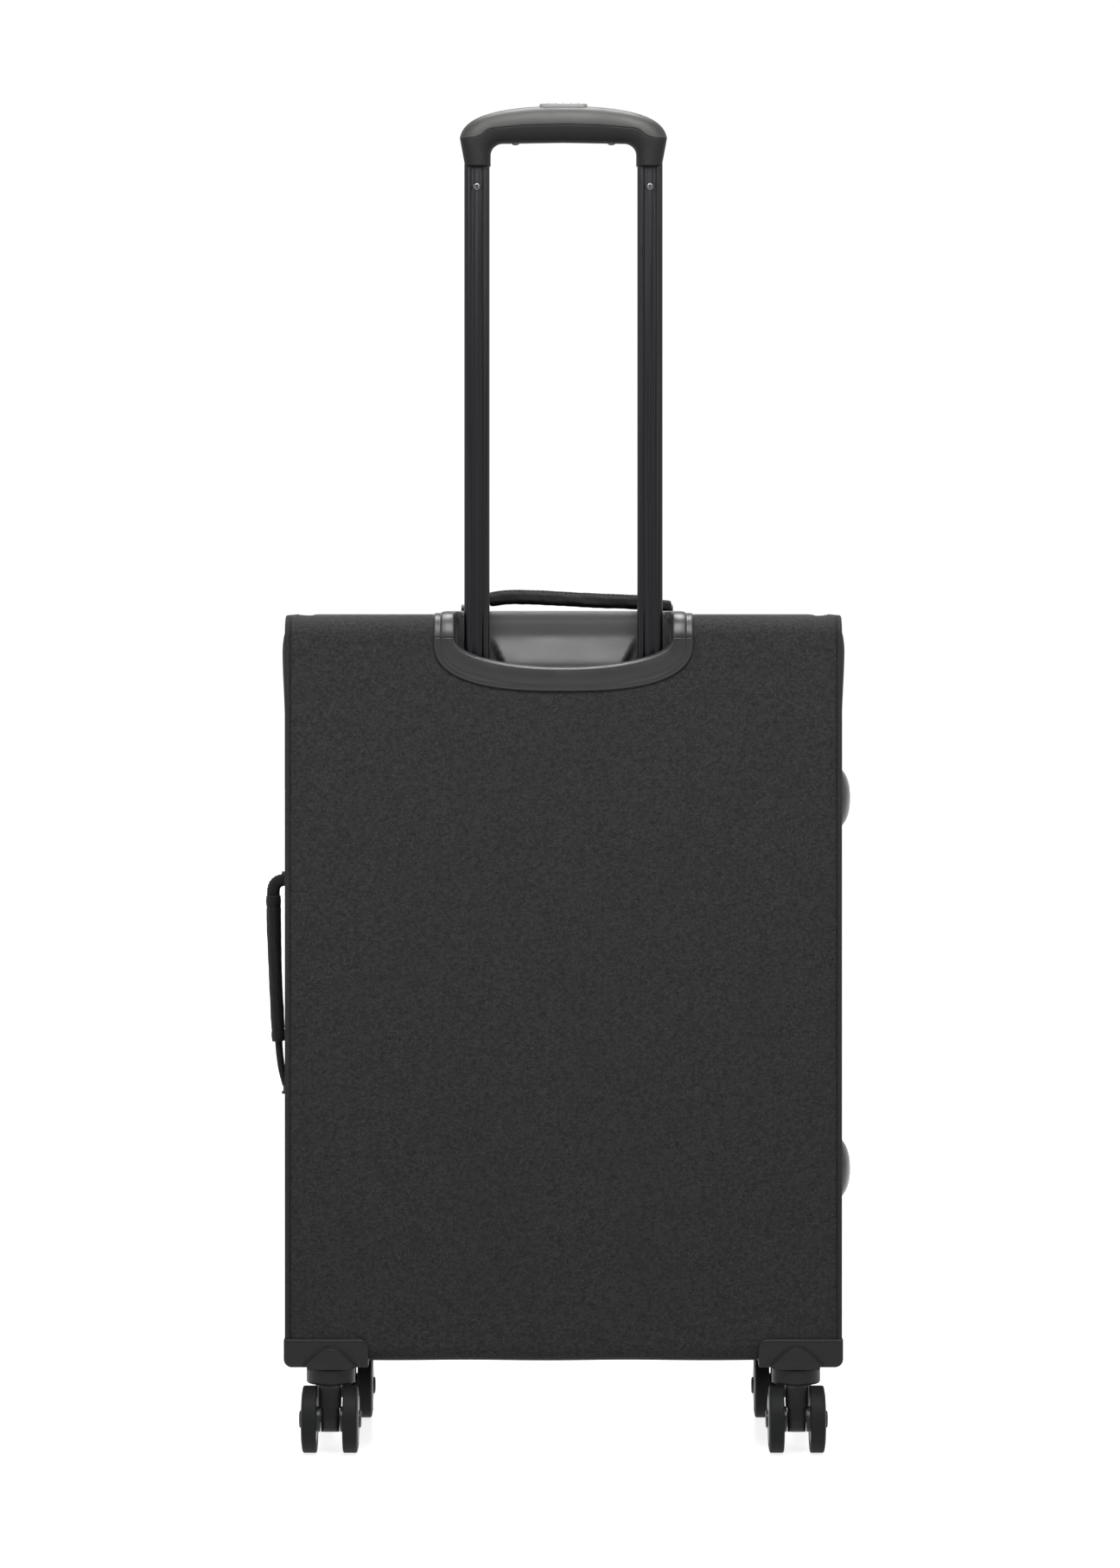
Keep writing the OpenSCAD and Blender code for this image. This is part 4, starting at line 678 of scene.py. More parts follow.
def grip_points(outer, inner, w, side, grow):
    """Points of the grip's surface: w runs from -1 at the inner outline to 1 at the outer, side is the face in y. The
    depth is a superellipse of power 2.5 in w, and grow moves the surface outwards."""
    half = (outer - inner) / 2
    deep = (GRIP_DEEP + grow) * np.maximum(1 - np.abs(w) ** 2.5, 0) ** (1 / 2.5)
    by = w * (1 + grow / np.linalg.norm(half, axis=1)[:, None])
    at = ((outer + inner) / 2)[:, None] + half[:, None] * by[..., None]
    return join(at[..., 0], TUBE_Y + side * deep, GRIP_Z + at[..., 1])


outer, inner = grip_lines()
w_try = np.linspace(-1, 1, 801)
at = (outer + inner)[:, None] / 2 + (outer - inner)[:, None] / 2 * w_try[None, :, None]
over = at[..., 1] - parting(at[..., 0])
w_part = np.where(over[:, -1] <= 0, 1.0, w_try[np.argmax(over > 0, axis=1)])


def grip_body_surface():
    """The whole grip, each ring a superellipse; above the parting line it is drawn in by 0.55 mm under the cover."""
    ang = np.linspace(0, 2 * math.pi, 120, endpoint=False)
    w, part = np.sin(ang)[None], w_part[:, None]
    grow = -0.55 * ease((w - part) / 0.04 + 0.3) * (part < 1)
    return closed_ends(grip_points(outer, inner, w, np.sign(np.cos(ang)), grow), 0.0)


def grip_cover_surface():
    """The cover over the top: from the parting line on one side over to the other, its edge rolled inwards."""
    use = w_part < 0.985
    first = np.arcsin(w_part[use])[:, None] + 0.03
    q = np.concatenate([[0, 0, 0.008], np.linspace(0.02, 0.98, 70), [0.992, 1, 1]])
    edge = np.array([-0.8, -0.1, 0.12])
    grow = np.concatenate([edge, np.full(70, 0.18), edge[::-1]])
    ang = first + (math.pi - 2 * first) * q
    return grip_points(outer[use], inner[use], np.sin(ang), np.sign(np.cos(ang)), grow)


piece("grip_moulding", [hoops(grip_body_surface())], GRIP_PLASTIC, "trolley", ["grip_body"])
piece("grip_top_cover", [patch(grip_cover_surface())], COVER_PLASTIC, "trolley", ["grip_cover"])


def screw(centre, out, r_head, tall):
    """Pan-head screw: a disc of rings whose height is tall (1 - (r/r_head)^4), with a cross recess pressed 0.9 deep
    where either cross coordinate is under half its width and r is under 0.55 of the head."""
    q = np.concatenate([[1.0, 1.0], np.linspace(0.97, 0, 26)])[:, None]
    t = np.linspace(0, 2 * math.pi, 96, endpoint=False)[None]
    a, b = r_head * q * np.cos(t), r_head * q * np.sin(t)
    cross = ease((0.62 - np.minimum(np.abs(a), np.abs(b))) / 0.3) * ease((0.55 * r_head - r_head * q) / 0.3)
    high = tall * (1 - q**4) - 0.9 * cross
    high[0] = -1.0
    out, across = np.array(out, float), np.array([1.0, 0, 0])
    up = np.cross(out, across)
    return np.array(centre) + a[..., None] * across + b[..., None] * up + high[..., None] * out


heads = []
for side in (-1, 1):
    heads.append(hoops(screw((side * TUBE_X, TUBE_Y - 7.2, GRIP_Z - 16.4), (0, -1, 0), 3.6, 1.7)))
    heads.append(hoops(screw((side * 38.0, TUBE_Y, GRIP_Z + 17.9), (0, 0, -1), 3.2, 1.3)))
piece("grip_screws", heads, DARK_STEEL, "trolley", ["trolley_screws"])


def button_surface():
    """Release button: a superellipse plan whose rounded top is closed at the middle."""
    x, y = power_ring(19.0, 6.5, 7, 96)
    shares = [(0.0, -0.5, 1050), (1, 1, 1050), (1, 1, 1064.0), (0.985, 0.9775, 1064.8), (0.95, 0.925, 1065.3)]
    shares += [(0.9, 0.85, 1065.5)] + [(q, 0.86 * q, 1065.55) for q in (0.75, 0.5, 0.25, 0.0)]
    return np.stack([join(x * a, TUBE_Y + y * b, z) for a, b, z in shares])


def rib_bars():
    """Five rounded ribs across the button."""
    y = np.linspace(-77.6, -68.4, 9)
    bars = (sweep(join(x, y, 1065.35), round_section(0.7, 10), (1, 0, 0)) for x in np.linspace(-12, 12, 5))
    return [hoops(closed_ends(bar, 0.3)) for bar in bars]


button = [hoops(button_surface())] + rib_bars()
piece("release_button", button, BUTTON_PLASTIC, "button", ["push_button"], sharp=50)

# ---------- carry handles ----------

PIVOT_Z, TOP_MID_X, TOP_Y = 665.5, 3.0, 16.0


def top_line(u):
    """Top handle's centre line: x and z at u from -1 to 1, rising by 7.6 (1 - |u|^6) and tipped by 4.6 u (1 - u^2)."""
    return TOP_MID_X + u * 79.0, PIVOT_Z + 7.6 * (1 - np.abs(u) ** 6) - 4.6 * u * (1 - u**2)


def ribbon(path, ring, wide, thick, across, normal):
    """Rings of one outline along a path, each wide along across and thick along the normal."""
    a, b = (k[None, :, None] for k in ring)
    return path[:, None] + a * wide[:, None, None] * across + b * thick[:, None, None] * normal


def seam_pinch():
    """How far a sleeve's 64 ring points draw in at its two side seams, as a share of its size."""
    c = np.cos(np.linspace(0, 2 * math.pi, 64, endpoint=False))
    return 0.12 * np.exp(-(((np.abs(c) - 1) / 0.01) ** 2))


def top_path(u, side=0.0, lift=0.0):
    """The top handle's line as points, moved sideways in y and up."""
    x, z = top_line(u)
    return join(x, TOP_Y + side, z + lift)


def top_pad():
    """Padded sleeve: superellipse rings along the handle's line, fuller in the middle, pinched by two seams
    along its sides, with soft wrinkles across the inside of the bend."""
    u = np.linspace(-0.8, 0.8, 130)
    path = top_path(u)
    t = np.linspace(0, 2 * math.pi, 64, endpoint=False)
    ends = np.clip((0.8 - np.abs(u)) / 0.035, 0, 1)
    section = np.stack(power_ring(12.6, 5.9, 2.6, 64), 1)
    out = sweep(path, section, (0, 1, 0), swell=0.86 + 0.14 * np.sqrt(ends)) - path[:, None]
    soft = 0.3 + 0.7 * ease((1 - np.abs(u[:, None])) * 2)
    wrinkle = 0.22 * ripple(path[:, None, 0], t[None] * 12, 11, 5) * soft
    out = out * (1 + (wrinkle - seam_pinch()) / 8.0)[..., None]
    return closed_ends(path[:, None] + out, 0.6)


pad = piece("top_handle_sleeve", [hoops(top_pad())], PAD_CLOTH, "top_handle", ["top_handle_pad"])

u = np.linspace(-1.0, 1.0, 90)
path = top_path(u)
path[:, 2] += 2.0 * np.clip((np.abs(u) - 0.9) / 0.1, 0, 1)
path[:, 0] += 4.0 * ease((u - 0.9) / 0.1)
thick = 2.6 + 6.2 * ease((np.abs(u) - 0.62) / 0.16)
rings = ribbon(path, power_ring(1, 1, 3.2, 32), np.full(90, 7.6), thick / 2, np.array([0, 1.0, 0]), np.array([0, 0, 1.0]))
strap = [hoops(closed_ends(rings, 1.6))]
for side in (-1, 1):
    path = join(TOP_MID_X + side * np.linspace(83, 74.5, 12), TOP_Y, PIVOT_Z)
    strap.append(hoops(closed_ends(sweep(path, round_section(3.5, 20), (0, 1, 0)), 0.5)))
piece("top_handle_webbing", strap, WEBBING, "top_handle", ["top_handle_strap"])

u = np.linspace(-0.76, 0.76, 60)
seams = [stitch_row(top_path(u, side * 9.2, 5.15), (0, 0, 1), 2.6, 1.2, 0.35) for side in (-1, 1)]
piece("top_handle_stitching", seams, THREAD, "top_handle")

SIDE_X, SIDE_Y, SIDE_Z = -224.0, 2.0, 364.0
# Marks of the side handle's line: distance out from the panel's strap, height above its middle
SIDE_LINE = np.array([
    [0, 83.0], [5.5, 82.4], [8.6, 80.4], [10, 77], [9.9, 70], [9.3, 40],
    [8.4, 10], [7, -20], [5.6, -47], [4.9, -57], [3.2, -70], [0, -82],
])


def side_path(first, last):
    """Side handle's centre line between two of its marks, rounded."""
    d = distances(SIDE_LINE)
    fine = np.linspace(d[0], d[-1], 260)
    out, up = soften(at_distances(fine, d, SIDE_LINE), 40)[(fine >= d[first] - 1e-6) & (fine <= d[last] + 1e-6)].T
    return join(SIDE_X - out, SIDE_Y, SIDE_Z + up)


def side_pad():
    """Sleeve of the side handle: superellipse rings along its line, a hem at each end and a seam down its edge."""
    path = side_path(4, 8)
    q = np.linspace(0, 1, len(path))
    t = np.linspace(0, 2 * math.pi, 64, endpoint=False)
    section = np.stack([power_ring(12.8, 1, 2.8, 64)[0], power_ring(1, 5.7, 2.4, 64)[1]], 1)
    swell, pinch = (
        sum(np.exp(-(((q - at) / wide) ** 2)) for at in places)
        for wide, places in ((0.02, (0.035, 0.965)), (0.008, (0.075, 0.925)))
    )
    slim = 1.0 - 0.1 * q + 0.05 * swell - 0.05 * pinch + 0.02 * np.sin(q * 9)
    wrinkle = 0.2 * ripple(path[:, None, 2], t[None] * 12, 14, 9)
    out = (sweep(path, section, (0, 1, 0)) - path[:, None]) * slim[:, None, None]
    out = out * (1 + (wrinkle - seam_pinch()) / 8.0)[..., None]
    return closed_ends(path[:, None] + out, 0.5)


pad = piece("side_handle_sleeve", [hoops(side_pad())], PAD_CLOTH, "side_handle", ["side_handle_pad"])


def side_webbing():
    """Webbing of the side handle: rolled into a ribbed cord at the top, flat and narrow at the bottom. Ribs are a
    sine along the path."""
    path = side_path(0, len(SIDE_LINE) - 1)
    d = distances(path)
    share = d / d[-1]
    fine = np.linspace(0, d[-1], int(d[-1] / 0.45))
    p = soften(at_distances(fine, d, path), 4)
    thick = np.interp(fine, d, np.interp(share, [0, 0.12, 0.2, 0.7, 0.8, 1], [4.9, 5.2, 3.0, 2.6, 2.9, 2.6]))
    thick = thick * (1 + 0.05 * np.sin(2 * math.pi * fine / 1.9))
    wide = np.interp(fine, d, np.interp(share, [0, 0.12, 0.2, 1], [6.5, 7.0, 8.0, 8.0]))
    t = np.gradient(p, axis=0)
    t /= np.linalg.norm(t, axis=1)[:, None]
    across = np.array([0, 1.0, 0])
    return closed_ends(ribbon(p, power_ring(1, 1, 3.0, 32), wide, thick, across, np.cross(t, across)[:, None]), 0.3)


piece("side_handle_webbing", [hoops(side_webbing())], WEBBING, "side_handle", ["side_handle_strap"])

# ---------- side studs ----------


def stud_profile():
    """Tapered flange, a shadow groove, then a dome whose height is 2 + 8.2 (1 - r^2.3)^0.66."""
    r = np.linspace(1, 0, 26)
    rim = [[28.0, -0.4], [28.0, 0.25], [27.6, 0.55], [24.4, 1.75], [23.9, 1.9], [23.7, 1.2], [23.3, 1.2]]
    return np.concatenate([rim, np.stack([23.2 * r, 2.0 + 8.2 * (1 - r**2.3) ** 0.66], 1)])


STUD_PLACES = [(HALF_W, y, z) for z in (219.6, 514.8) for y in (-44.0, 44.0)]
studs = [hoops(lathe(stud_profile(), at, (1, 0, 0), 72)) for at in STUD_PLACES]
piece("side_feet", studs, STUD_PLASTIC, "shell", ["side_studs"])

# ---------- casters ----------


def plate_rings(w, h, radii, depths):
    """Rounded plate: (inset, distance out) stations make rings of a rounded rectangle, closed at the middle."""
    rings = []
    for inset, out in depths:
        x, z = corner_ring(w - 2 * inset, h - 2 * inset, [max(r - inset, 0.3) for r in radii], 96)
        rings.append(join(x, out, z))
    last, middle = rings[-1], rings[-1].mean(0)
    return np.stack(rings + [middle + (last - middle) * q for q in (0.8, 0.5, 0.2, 0.0)])


def skirt(c):
    """Skirt of a rear housing over the back panel: a plate rounded at its inner top and outer bottom corner."""
    side = np.sign(c[0])
    radii = (0.8, 7, 1.2, 6.5) if side > 0 else (7, 0.8, 6.5, 1.2)
    rings = plate_rings(66.6, 22.2, radii, [(0, 8.0), (0, -1.5), (0.25, -2.2), (0.8, -2.6), (3.0, -2.75)])
    return rings + [side * (HALF_W + 1.9 - 33.3), BACK, 79.3]


def side_skirt(c):
    """Skirt of a rear housing over the side panel."""
    edge = [(0, -1.0), (0, 0.9), (0.3, 1.3), (0.9, 1.5), (3.0, 1.6)]
    y, out, z = np.moveaxis(plate_rings(62.0, 16.0, (6, 1, 1, 6), edge), -1, 0)
    return join(np.sign(c[0]) * (HALF_W + 0.4 + out), y + BACK + 28.5, z + 82.4)


def under_plate(c):
    """Flat plate under the body at one corner, with rolled edges."""
    y_mid, length = (BACK + 29.0, 62.0) if c[2] < 0 else (c[1] - 5.0, 50.0)
    edge = [(0, 75.0), (0.6, 72.5), (2.2, 70.3), (4.5, 69.2), (7.0, 69.0)]
    x, z, y = np.moveaxis(plate_rings(67.0, length, (7, 7, 7, 7), edge), -1, 0)
    return join(x + np.sign(c[0]) * (HALF_W + 1.2 - 33.5), y + y_mid, z)


def arch(c):
    """Raised arch on a rear skirt: x = 21.5 u across under an outline 69.5 + 15 cos(pi u / 2)^0.93. Its face steps out
    of the skirt over a lip, bows by 1.5 (1 - u^2) and has a notched foot; below, it runs back under the body."""
    u = np.linspace(-1, 1, 91)
    q = np.concatenate([[0.0, 0.0, 0.0, 0.015, 0.03, 0.05, 0.08], np.linspace(0.12, 1, 20)])[:, None]
    out = np.concatenate([[-6.0, 2.0, 4.3, 4.6, 4.5, 3.4], np.full(21, 3.1)])[:, None]
    foot = 66.2 + 2.4 * ease((21.5 * np.abs(u) - 18.6) / 0.8)
    z = foot + (69.5 + 15.0 * np.cos(QUARTER * u) ** 0.93 - foot) * (1 - q)
    x = 21.5 * u * (1 - 0.06 * ease(q / 0.08))
    bow = 1.5 * (1 - u**2) * ease((z - foot) / 6) * ease(q / 0.15)
    face = join(x + c[0], BACK - out - bow, z)
    under = face[-1] + np.linspace(0, 1, 8)[1:, None, None] * np.array([0, 9.0, 0])
    return [patch(np.concatenate([face, under]))]


def swivel_ledge(c):
    """Fixed collar between the plate and the turning head."""
    prof = smooth_profile([(0, 69.2), (19.2, 69.2), (19.2, 66.2), (12, 66.1), (0, 66.1)], 0.6)
    return lathe(prof, (c[0], c[1], 0), (0, 0, 1), 80)


housing = []
for c in CASTERS.values():
    housing += [hoops(under_plate(c)), hoops(swivel_ledge(c))]
    if c[2] < 0:
        housing += [hoops(skirt(c)), hoops(side_skirt(c))] + arch(c)
piece("corner_housings", housing, CASTER_PLASTIC, "shell", ["caster_housings"])


def fork_leg():
    """Raked leg: superellipse rings up in z. Low rings follow the boss's circle, higher ones widen and move under the
    head."""
    round_end = WHEEL_R - 10 * np.cos(np.linspace(0.12, QUARTER, 14))
    z = np.concatenate([round_end, [WHEEL_R + 3, 32, 35.0, 35.5, 36.0, 36.6, 37.5, 41, 45, 50, 57]])
    up = np.clip((z - WHEEL_R) / (57 - WHEEL_R), 0, 1)
    deep = np.where(z < WHEEL_R, np.sqrt(np.maximum(100 - (z - WHEEL_R) ** 2, 0.4)), 10 + 2.0 * up)
    wide = 7.25 + 1.45 * ease((z - 35.2) / 1.4)
    x, y = np.array([power_ring(a, b, 5 if at > 20 else 4, 56) for a, b, at in zip(wide, deep, z)]).swapaxes(0, 1)
    return closed_ends(join(x, y + (7.0 * up - TRAIL)[:, None], z[:, None]), 0.2)


def fork_head():
    """Swivel head: a shallow round cup, its underside curving up to the rim."""
    outline = [(0, 53.5), (17.8, 53.5), (19.0, 54.3), (19.2, 55.2), (19.2, 65.7), (18.9, 65.9), (0, 65.9)]
    return lathe(smooth_profile(outline), (0, 0, 0), (0, 0, 1), 72)


def place(points, c):
    """Turns a caster's local shape, which trails to -Y, the way the caster trails, and moves it to its swivel."""
    return points * [-c[2], -c[2], 1] + [c[0], c[1], 0]


# Half outlines (radius, distance from the caster's middle): the tyre from its inner face over the rounded tread to
# its outer face; the rim's hub barrel, inner face, outer dish and raised centre cap
TYRE_LINE = [
    (18.0, 10.5), (24.8, 10.2), (25.9, 10.5), (26.35, 11.3), (26.35, 20.4),
    (26.0, 21.2), (25.2, 21.6), (22.4, 22.1), (19.7, 22.5), (19.4, 22.0),
]
RIM_LINE = [
    (2.5, 7.8), (10, 7.8), (10, 10.3), (18.4, 10.6), (19.0, 10.8), (19.3, 22.0), (18.6, 22.5), (9.2, 22.8),
    (8.2, 22.3), (7.1, 22.3), (6.85, 22.7), (6.85, 23.8), (6.2, 24.4), (5.0, 24.5), (4.4, 24.1), (0, 24.1),
]


def wheel_pair(line, step, hub, count):
    """The same turned outline on both wheels of a caster."""
    return [hoops(lathe(smooth_profile(line, step) * [1, s], hub, (1, 0, 0), count)) for s in (-1, 1)]


for name, c in CASTERS.items():
    hub = (c[0], c[1] + c[2] * TRAIL, WHEEL_R)
    fork = [hoops(place(shape, c)) for shape in (fork_leg(), fork_head())]
    wheelset, wheels = f"wheelset_{name}", [f"wheels_{name}"]
    piece(f"fork_moulding_{name}", fork, CASTER_PLASTIC, f"fork_{name}", [f"fork_{name}"])
    piece(f"tyres_{name}", wheel_pair(TYRE_LINE, 0.4, hub, 88), TYRE, wheelset, wheels)
    piece(f"rims_{name}", wheel_pair(RIM_LINE, 0.3, hub, 72), RIM, wheelset, wheels)

# ---------- zips ----------

MID_Z, RING_W, RING_H, LID_R = 367.0, 435.0, 584.0, 16.0


def mouth_path(grow, y, count=760):
    """Rounded rectangle of the body's mouth, grown by grow, at one y, from the hinge side round."""
    x, z = round_box_ring(RING_W + 2 * grow, RING_H + 2 * grow, LID_R + grow, count)
    return join(x, y, z + MID_Z)


def open_ring(path):
    """The part of the mouth's loop that has zip: all but the straight hinge side."""
    on_hinge = (path[:, 0] > HALF_W - 6) & (np.abs(path[:, 2] - MID_Z) < RING_H / 2 - LID_R)
    return path[~on_hinge]


def tape_band(y0, y1):
    """Zip tape round the mouth: a band between two copies of the loop, bowed a little."""
    q = np.linspace(0, 1, 7)
    return np.stack([open_ring(mouth_path(0.25 * math.sin(math.pi * k), y0 + (y1 - y0) * k)) for k in q])


def coil(path, r=1.5, flat=0.8, pitch=1.6):
    """Coil chain: a tube whose radius ripples by an eighth at each turn of the coil."""
    d = distances(path)
    p = at_distances(np.linspace(0, d[-1], int(d[-1] / (pitch / 3))), d, path)
    turns = np.cos(2 * math.pi * np.arange(len(p)) / 3)
    return sweep(p, round_section(r, 8, flat), (0, 1, 0), swell=1 + 0.13 * turns)


for label, body, tape, coil_y, node_name in (
    ("mouth", "shell", (FRONT - 2.0, ZIP_Y - 0.1), ZIP_Y - 1.5, "main_zip_shell"),
    ("lid", "lid", (LID_Y + 0.1, LID_Y + 11.5), LID_Y + 1.5, "main_zip_lid"),
):
    piece(f"{label}_tape", [patch(tape_band(*tape))], ZIP_TAPE, body, [node_name], wall=1.0)
    piece(f"{label}_coil", [hoops(coil(open_ring(mouth_path(0.4, coil_y))))], COIL_NYLON, body)


def hinge_cloth():
    """Cloth that the lid folds on: y across the joint and z up, bowed out a little over the gap."""
    y, z = np.meshgrid(np.linspace(FRONT - 3, LID_Y + 12, 26), np.linspace(BOTTOM + 12, TOP - 12, 130))
    return join(HALF_W - 0.6 + 0.7 * np.exp(-(((y - 100) / 7) ** 2)) + 0.12 * ripple(y, z, 40, 21), y, z)


fold = [patch(hinge_cloth())]
hinge = piece("hinge_cloth", fold, SHELL_CLOTH, None, ["hinge_strip"], recalc=False, wall=1.2)
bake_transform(hinge)

# ---------- lid and pockets ----------


def puffed_tray(w, h, r, mid_z, stations, crown, seed, ripple_h, fill_steps):
    """A tray seen from the front: rounded-rectangle rings step out through (inset, y) stations, then shrink to the
    middle while y rises by crown (1 - q^2)^1.2, with faint ripples."""
    rings = []
    for inset, y in stations:
        x, z = round_box_ring(w - 2 * inset, h - 2 * inset, max(r - inset, 2.0), 220)
        rings.append(join(x, y, z))
    q = np.linspace(1, 0, fill_steps + 1)[1:, None]
    wave = ripple_h * ripple(x * q, z * q, 70, seed) * np.sin(math.pi * np.clip(1 - q, 0, 0.999) ** 0.8) * (q > 0.001)
    made = np.concatenate([np.stack(rings), join(x * q, y + crown * (1 - q**2) ** 1.2 + wave, z * q)])
    return made + [0, 0, mid_z]


def edge_roll(name, line, r):
    """A thin cord all round an edge of the lid or a pocket."""
    rings = sweep(line, round_section(r, 12), (0, 1, 0), wrap_path=True)
    piece(name, [patch(rings, wrap_rows=True, wrap_cols=True)], EDGE_CLOTH, "lid")


LID_STATIONS = [
    (0.6, 109.6), (0.0, 111.0), (0.0, 116.0), (0.5, 118.6), (1.8, 119.9),
    (3.6, 120.4), (5.2, 119.9), (6.4, 119.6), (8.0, 120.2), (12, 120.5),
]
lid = puffed_tray(435.5, 584.5, 16.5, MID_Z, LID_STATIONS, 0.5, 31, 0.25, 30)
piece("lid_cloth", [hoops(lid)], SHELL_CLOTH, "lid", ["lid_panel"], wall=1.8)
edge_roll("lid_cord", mouth_path(-3.4, 119.7, 420), 2.1)

# Bottom, height, depth and seed of each pocket; the stations' y is measured from its base and then from its face
POCKET_W = 376
POCKETS = {"lower": (108.0, 300.0, 28.0, 41), "upper": (454.0, 150.0, 20.0, 43)}
NEAR_BASE = [(-1.0, 0.2), (0.0, 0.6), (0.3, 3)]
NEAR_FACE = [(0.2, -7.5), (1.2, -5.4), (2.6, -4.6), (4.2, -4.9), (5.4, -4.4), (8.0, -3.0), (12, -2.0)]
for name, (z0, h, d, seed) in POCKETS.items():
    mid, far = z0 + h / 2, POCKET_Y + d
    pocket = [(a, POCKET_Y + b) for a, b in NEAR_BASE + [(-0.8, d * 0.45)]] + [(a, far + b) for a, b in NEAR_FACE]
    shape = puffed_tray(POCKET_W, h, 26, mid, pocket, 2.6, seed, 0.9, 24)
    piece(f"{name}_pocket_cloth", [hoops(shape)], SHELL_CLOTH, "lid", [f"{name}_pocket"], wall=1.6)
    x, z = round_box_ring(POCKET_W - 5.6, h - 5.6, 23, 360)
    edge_roll(f"{name}_pocket_cord", join(x, far - 4.4, z + mid), 1.9)

tapes, coils, stitches = [], [], []
q = np.linspace(-1, 1, 9)[:, None]
for z in (422.0, 618.0):
    tapes.append(patch(join(np.linspace(-156, 156, 160), POCKET_Y + 0.5 + 0.7 * (1 - q**4), z + 9 * q)))
    chain = coil(join(np.linspace(-152, 152, 300), POCKET_Y + 1.7, z), 2.2, 1.0)
    coils.append(hoops(closed_ends(chain, 0.2)))
    for e in (-7.2, 7.2):
        stitches.append(stitch_row(join(np.linspace(-150, 150, 60), POCKET_Y + 1.05, z + e), (0, 1, 0)))
piece("pocket_tapes", tapes, ZIP_TAPE, "lid", ["pocket_zips"], wall=0.5, recalc=False)
piece("pocket_coils", coils, COIL_NYLON, "lid")
piece("pocket_stitching", stitches, THREAD, "lid")

# ---------- inside ----------

LINING_Y = -59.4
STRAP_Z = (244.0, 434.0)


def lining_box():
    """The lining as an open box of cloth: a rounded rectangle carried from the back board to the mouth, rippling more
    towards the mouth. Over the cup the cloth steps forward."""
    y = np.linspace(LINING_Y, 77.5, 40)[:, None]
    w, h = 414.0, 549.0
    x, z = round_box_ring(w, h, 10, 420)
    deep = (y - y[0]) / (y[-1] - y[0])
    wave = ripple(np.arange(420) * 4.5, y, 60, 51) * (0.3 + 0.9 * deep) - 0.9
    nx, nz = np.sign(x) * (np.abs(x) > w / 2 - 9), np.sign(z) * (np.abs(z) > h / 2 - 9)
    walls = join(x + nx * wave, y, z + nz * wave + 375.5)
    q = np.linspace(0.98, 0, 30)[:, None]
    sag = np.abs(0.5 * ripple(x * q, z * q, 80, 53) + 0.6) * (q > 0.01)
    x, y, z = np.moveaxis(np.concatenate([join(x * q, LINING_Y + sag, z * q + 375.5)[::-1], walls]), -1, 0)
    return join(x, np.maximum(y, LINING_Y + 16.5 * ease((92 - np.abs(x)) / 6) * ease((z - 602) / 8)), z)


def webbing_strap(path, w, t):
    """Flat strap along a path, its width up in z."""
    return hoops(closed_ends(sweep(path, strap_section(w, t), (0, 0, 1)), 0.2))


lining = [hoops(lining_box())]
piece("main_lining", lining, LINING_CLOTH, "shell", ["lining"], recalc=False, flip=True)
x = np.linspace(-204, 204, 120)
sag = np.cos(x / 204 * QUARTER) ** 2
straps = [webbing_strap(join(x, sag * 0.4 - 57.3, z - sag), 25, 1.5) for z in STRAP_Z]
piece("luggage_straps", straps, ELASTIC, "shell", ["packing_straps"])


def strap_buckle(z):
    """Side-release buckle on a packing strap: a rounded plate with a waisted outline."""
    x, h = power_ring(17, 14.5, 4, 80)
    h = h * (1 - 0.12 * np.cos(x / 17 * math.pi) ** 2)
    shares = ((1.0, -57.6), (1.0, -55.4), (0.97, -54.7), (0.9, -54.3), (0.6, -54.2), (0.0, -54.2))
    return np.stack([join(x * q, y, h * q + z) for q, y in shares])


buckles = [hoops(strap_buckle(z)) for z in STRAP_Z]
piece("strap_buckles", buckles, TRIM_PLASTIC, "shell", sharp=40)


def lid_inside():
    """Lining of the lid: a flat sheet with soft ripples, in a rounded outline."""
    x, z = round_box_ring(428, 577, 13, 260)
    q = np.linspace(1, 0, 40)[:, None]
    return join(x * q, 110.6 + 0.5 * ripple(x * q, z * q, 70, 61) * (1 - q**6), z * q + MID_Z)


def mesh_pocket():
    """Gathered mesh pocket in the lid: a sheet that bows out, its ruffles strongest at the elastic top edge."""
    x, z = np.meshgrid(np.linspace(-196, 196, 240), np.linspace(118, 472, 90))
    up = (z - 118) / 354
    bow = np.sin(math.pi * (x + 196) / 392) ** 0.5 * np.clip(np.sin(math.pi * np.minimum(up + 0.02, 0.9) / 1.1), 0, 1)
    return join(x, 110.0 - 2.2 * bow - 0.55 * np.sin(x / 6.5) * up**2, z)


inner = [hoops(lid_inside())]
piece("lid_inner_cloth", inner, LINING_CLOTH, "lid", ["lid_lining"], recalc=False, wall=0.6)
piece("lid_mesh_pocket", [patch(mesh_pocket())], MESH_CLOTH, "lid", recalc=False, wall=0.5)
hem = webbing_strap(join(np.linspace(-196, 196, 160), 108.8, 472.0), 12, 1.6)
piece("mesh_pocket_hem", [hem], ELASTIC, "lid")

# ---------- finishes of the CAD parts that show ----------

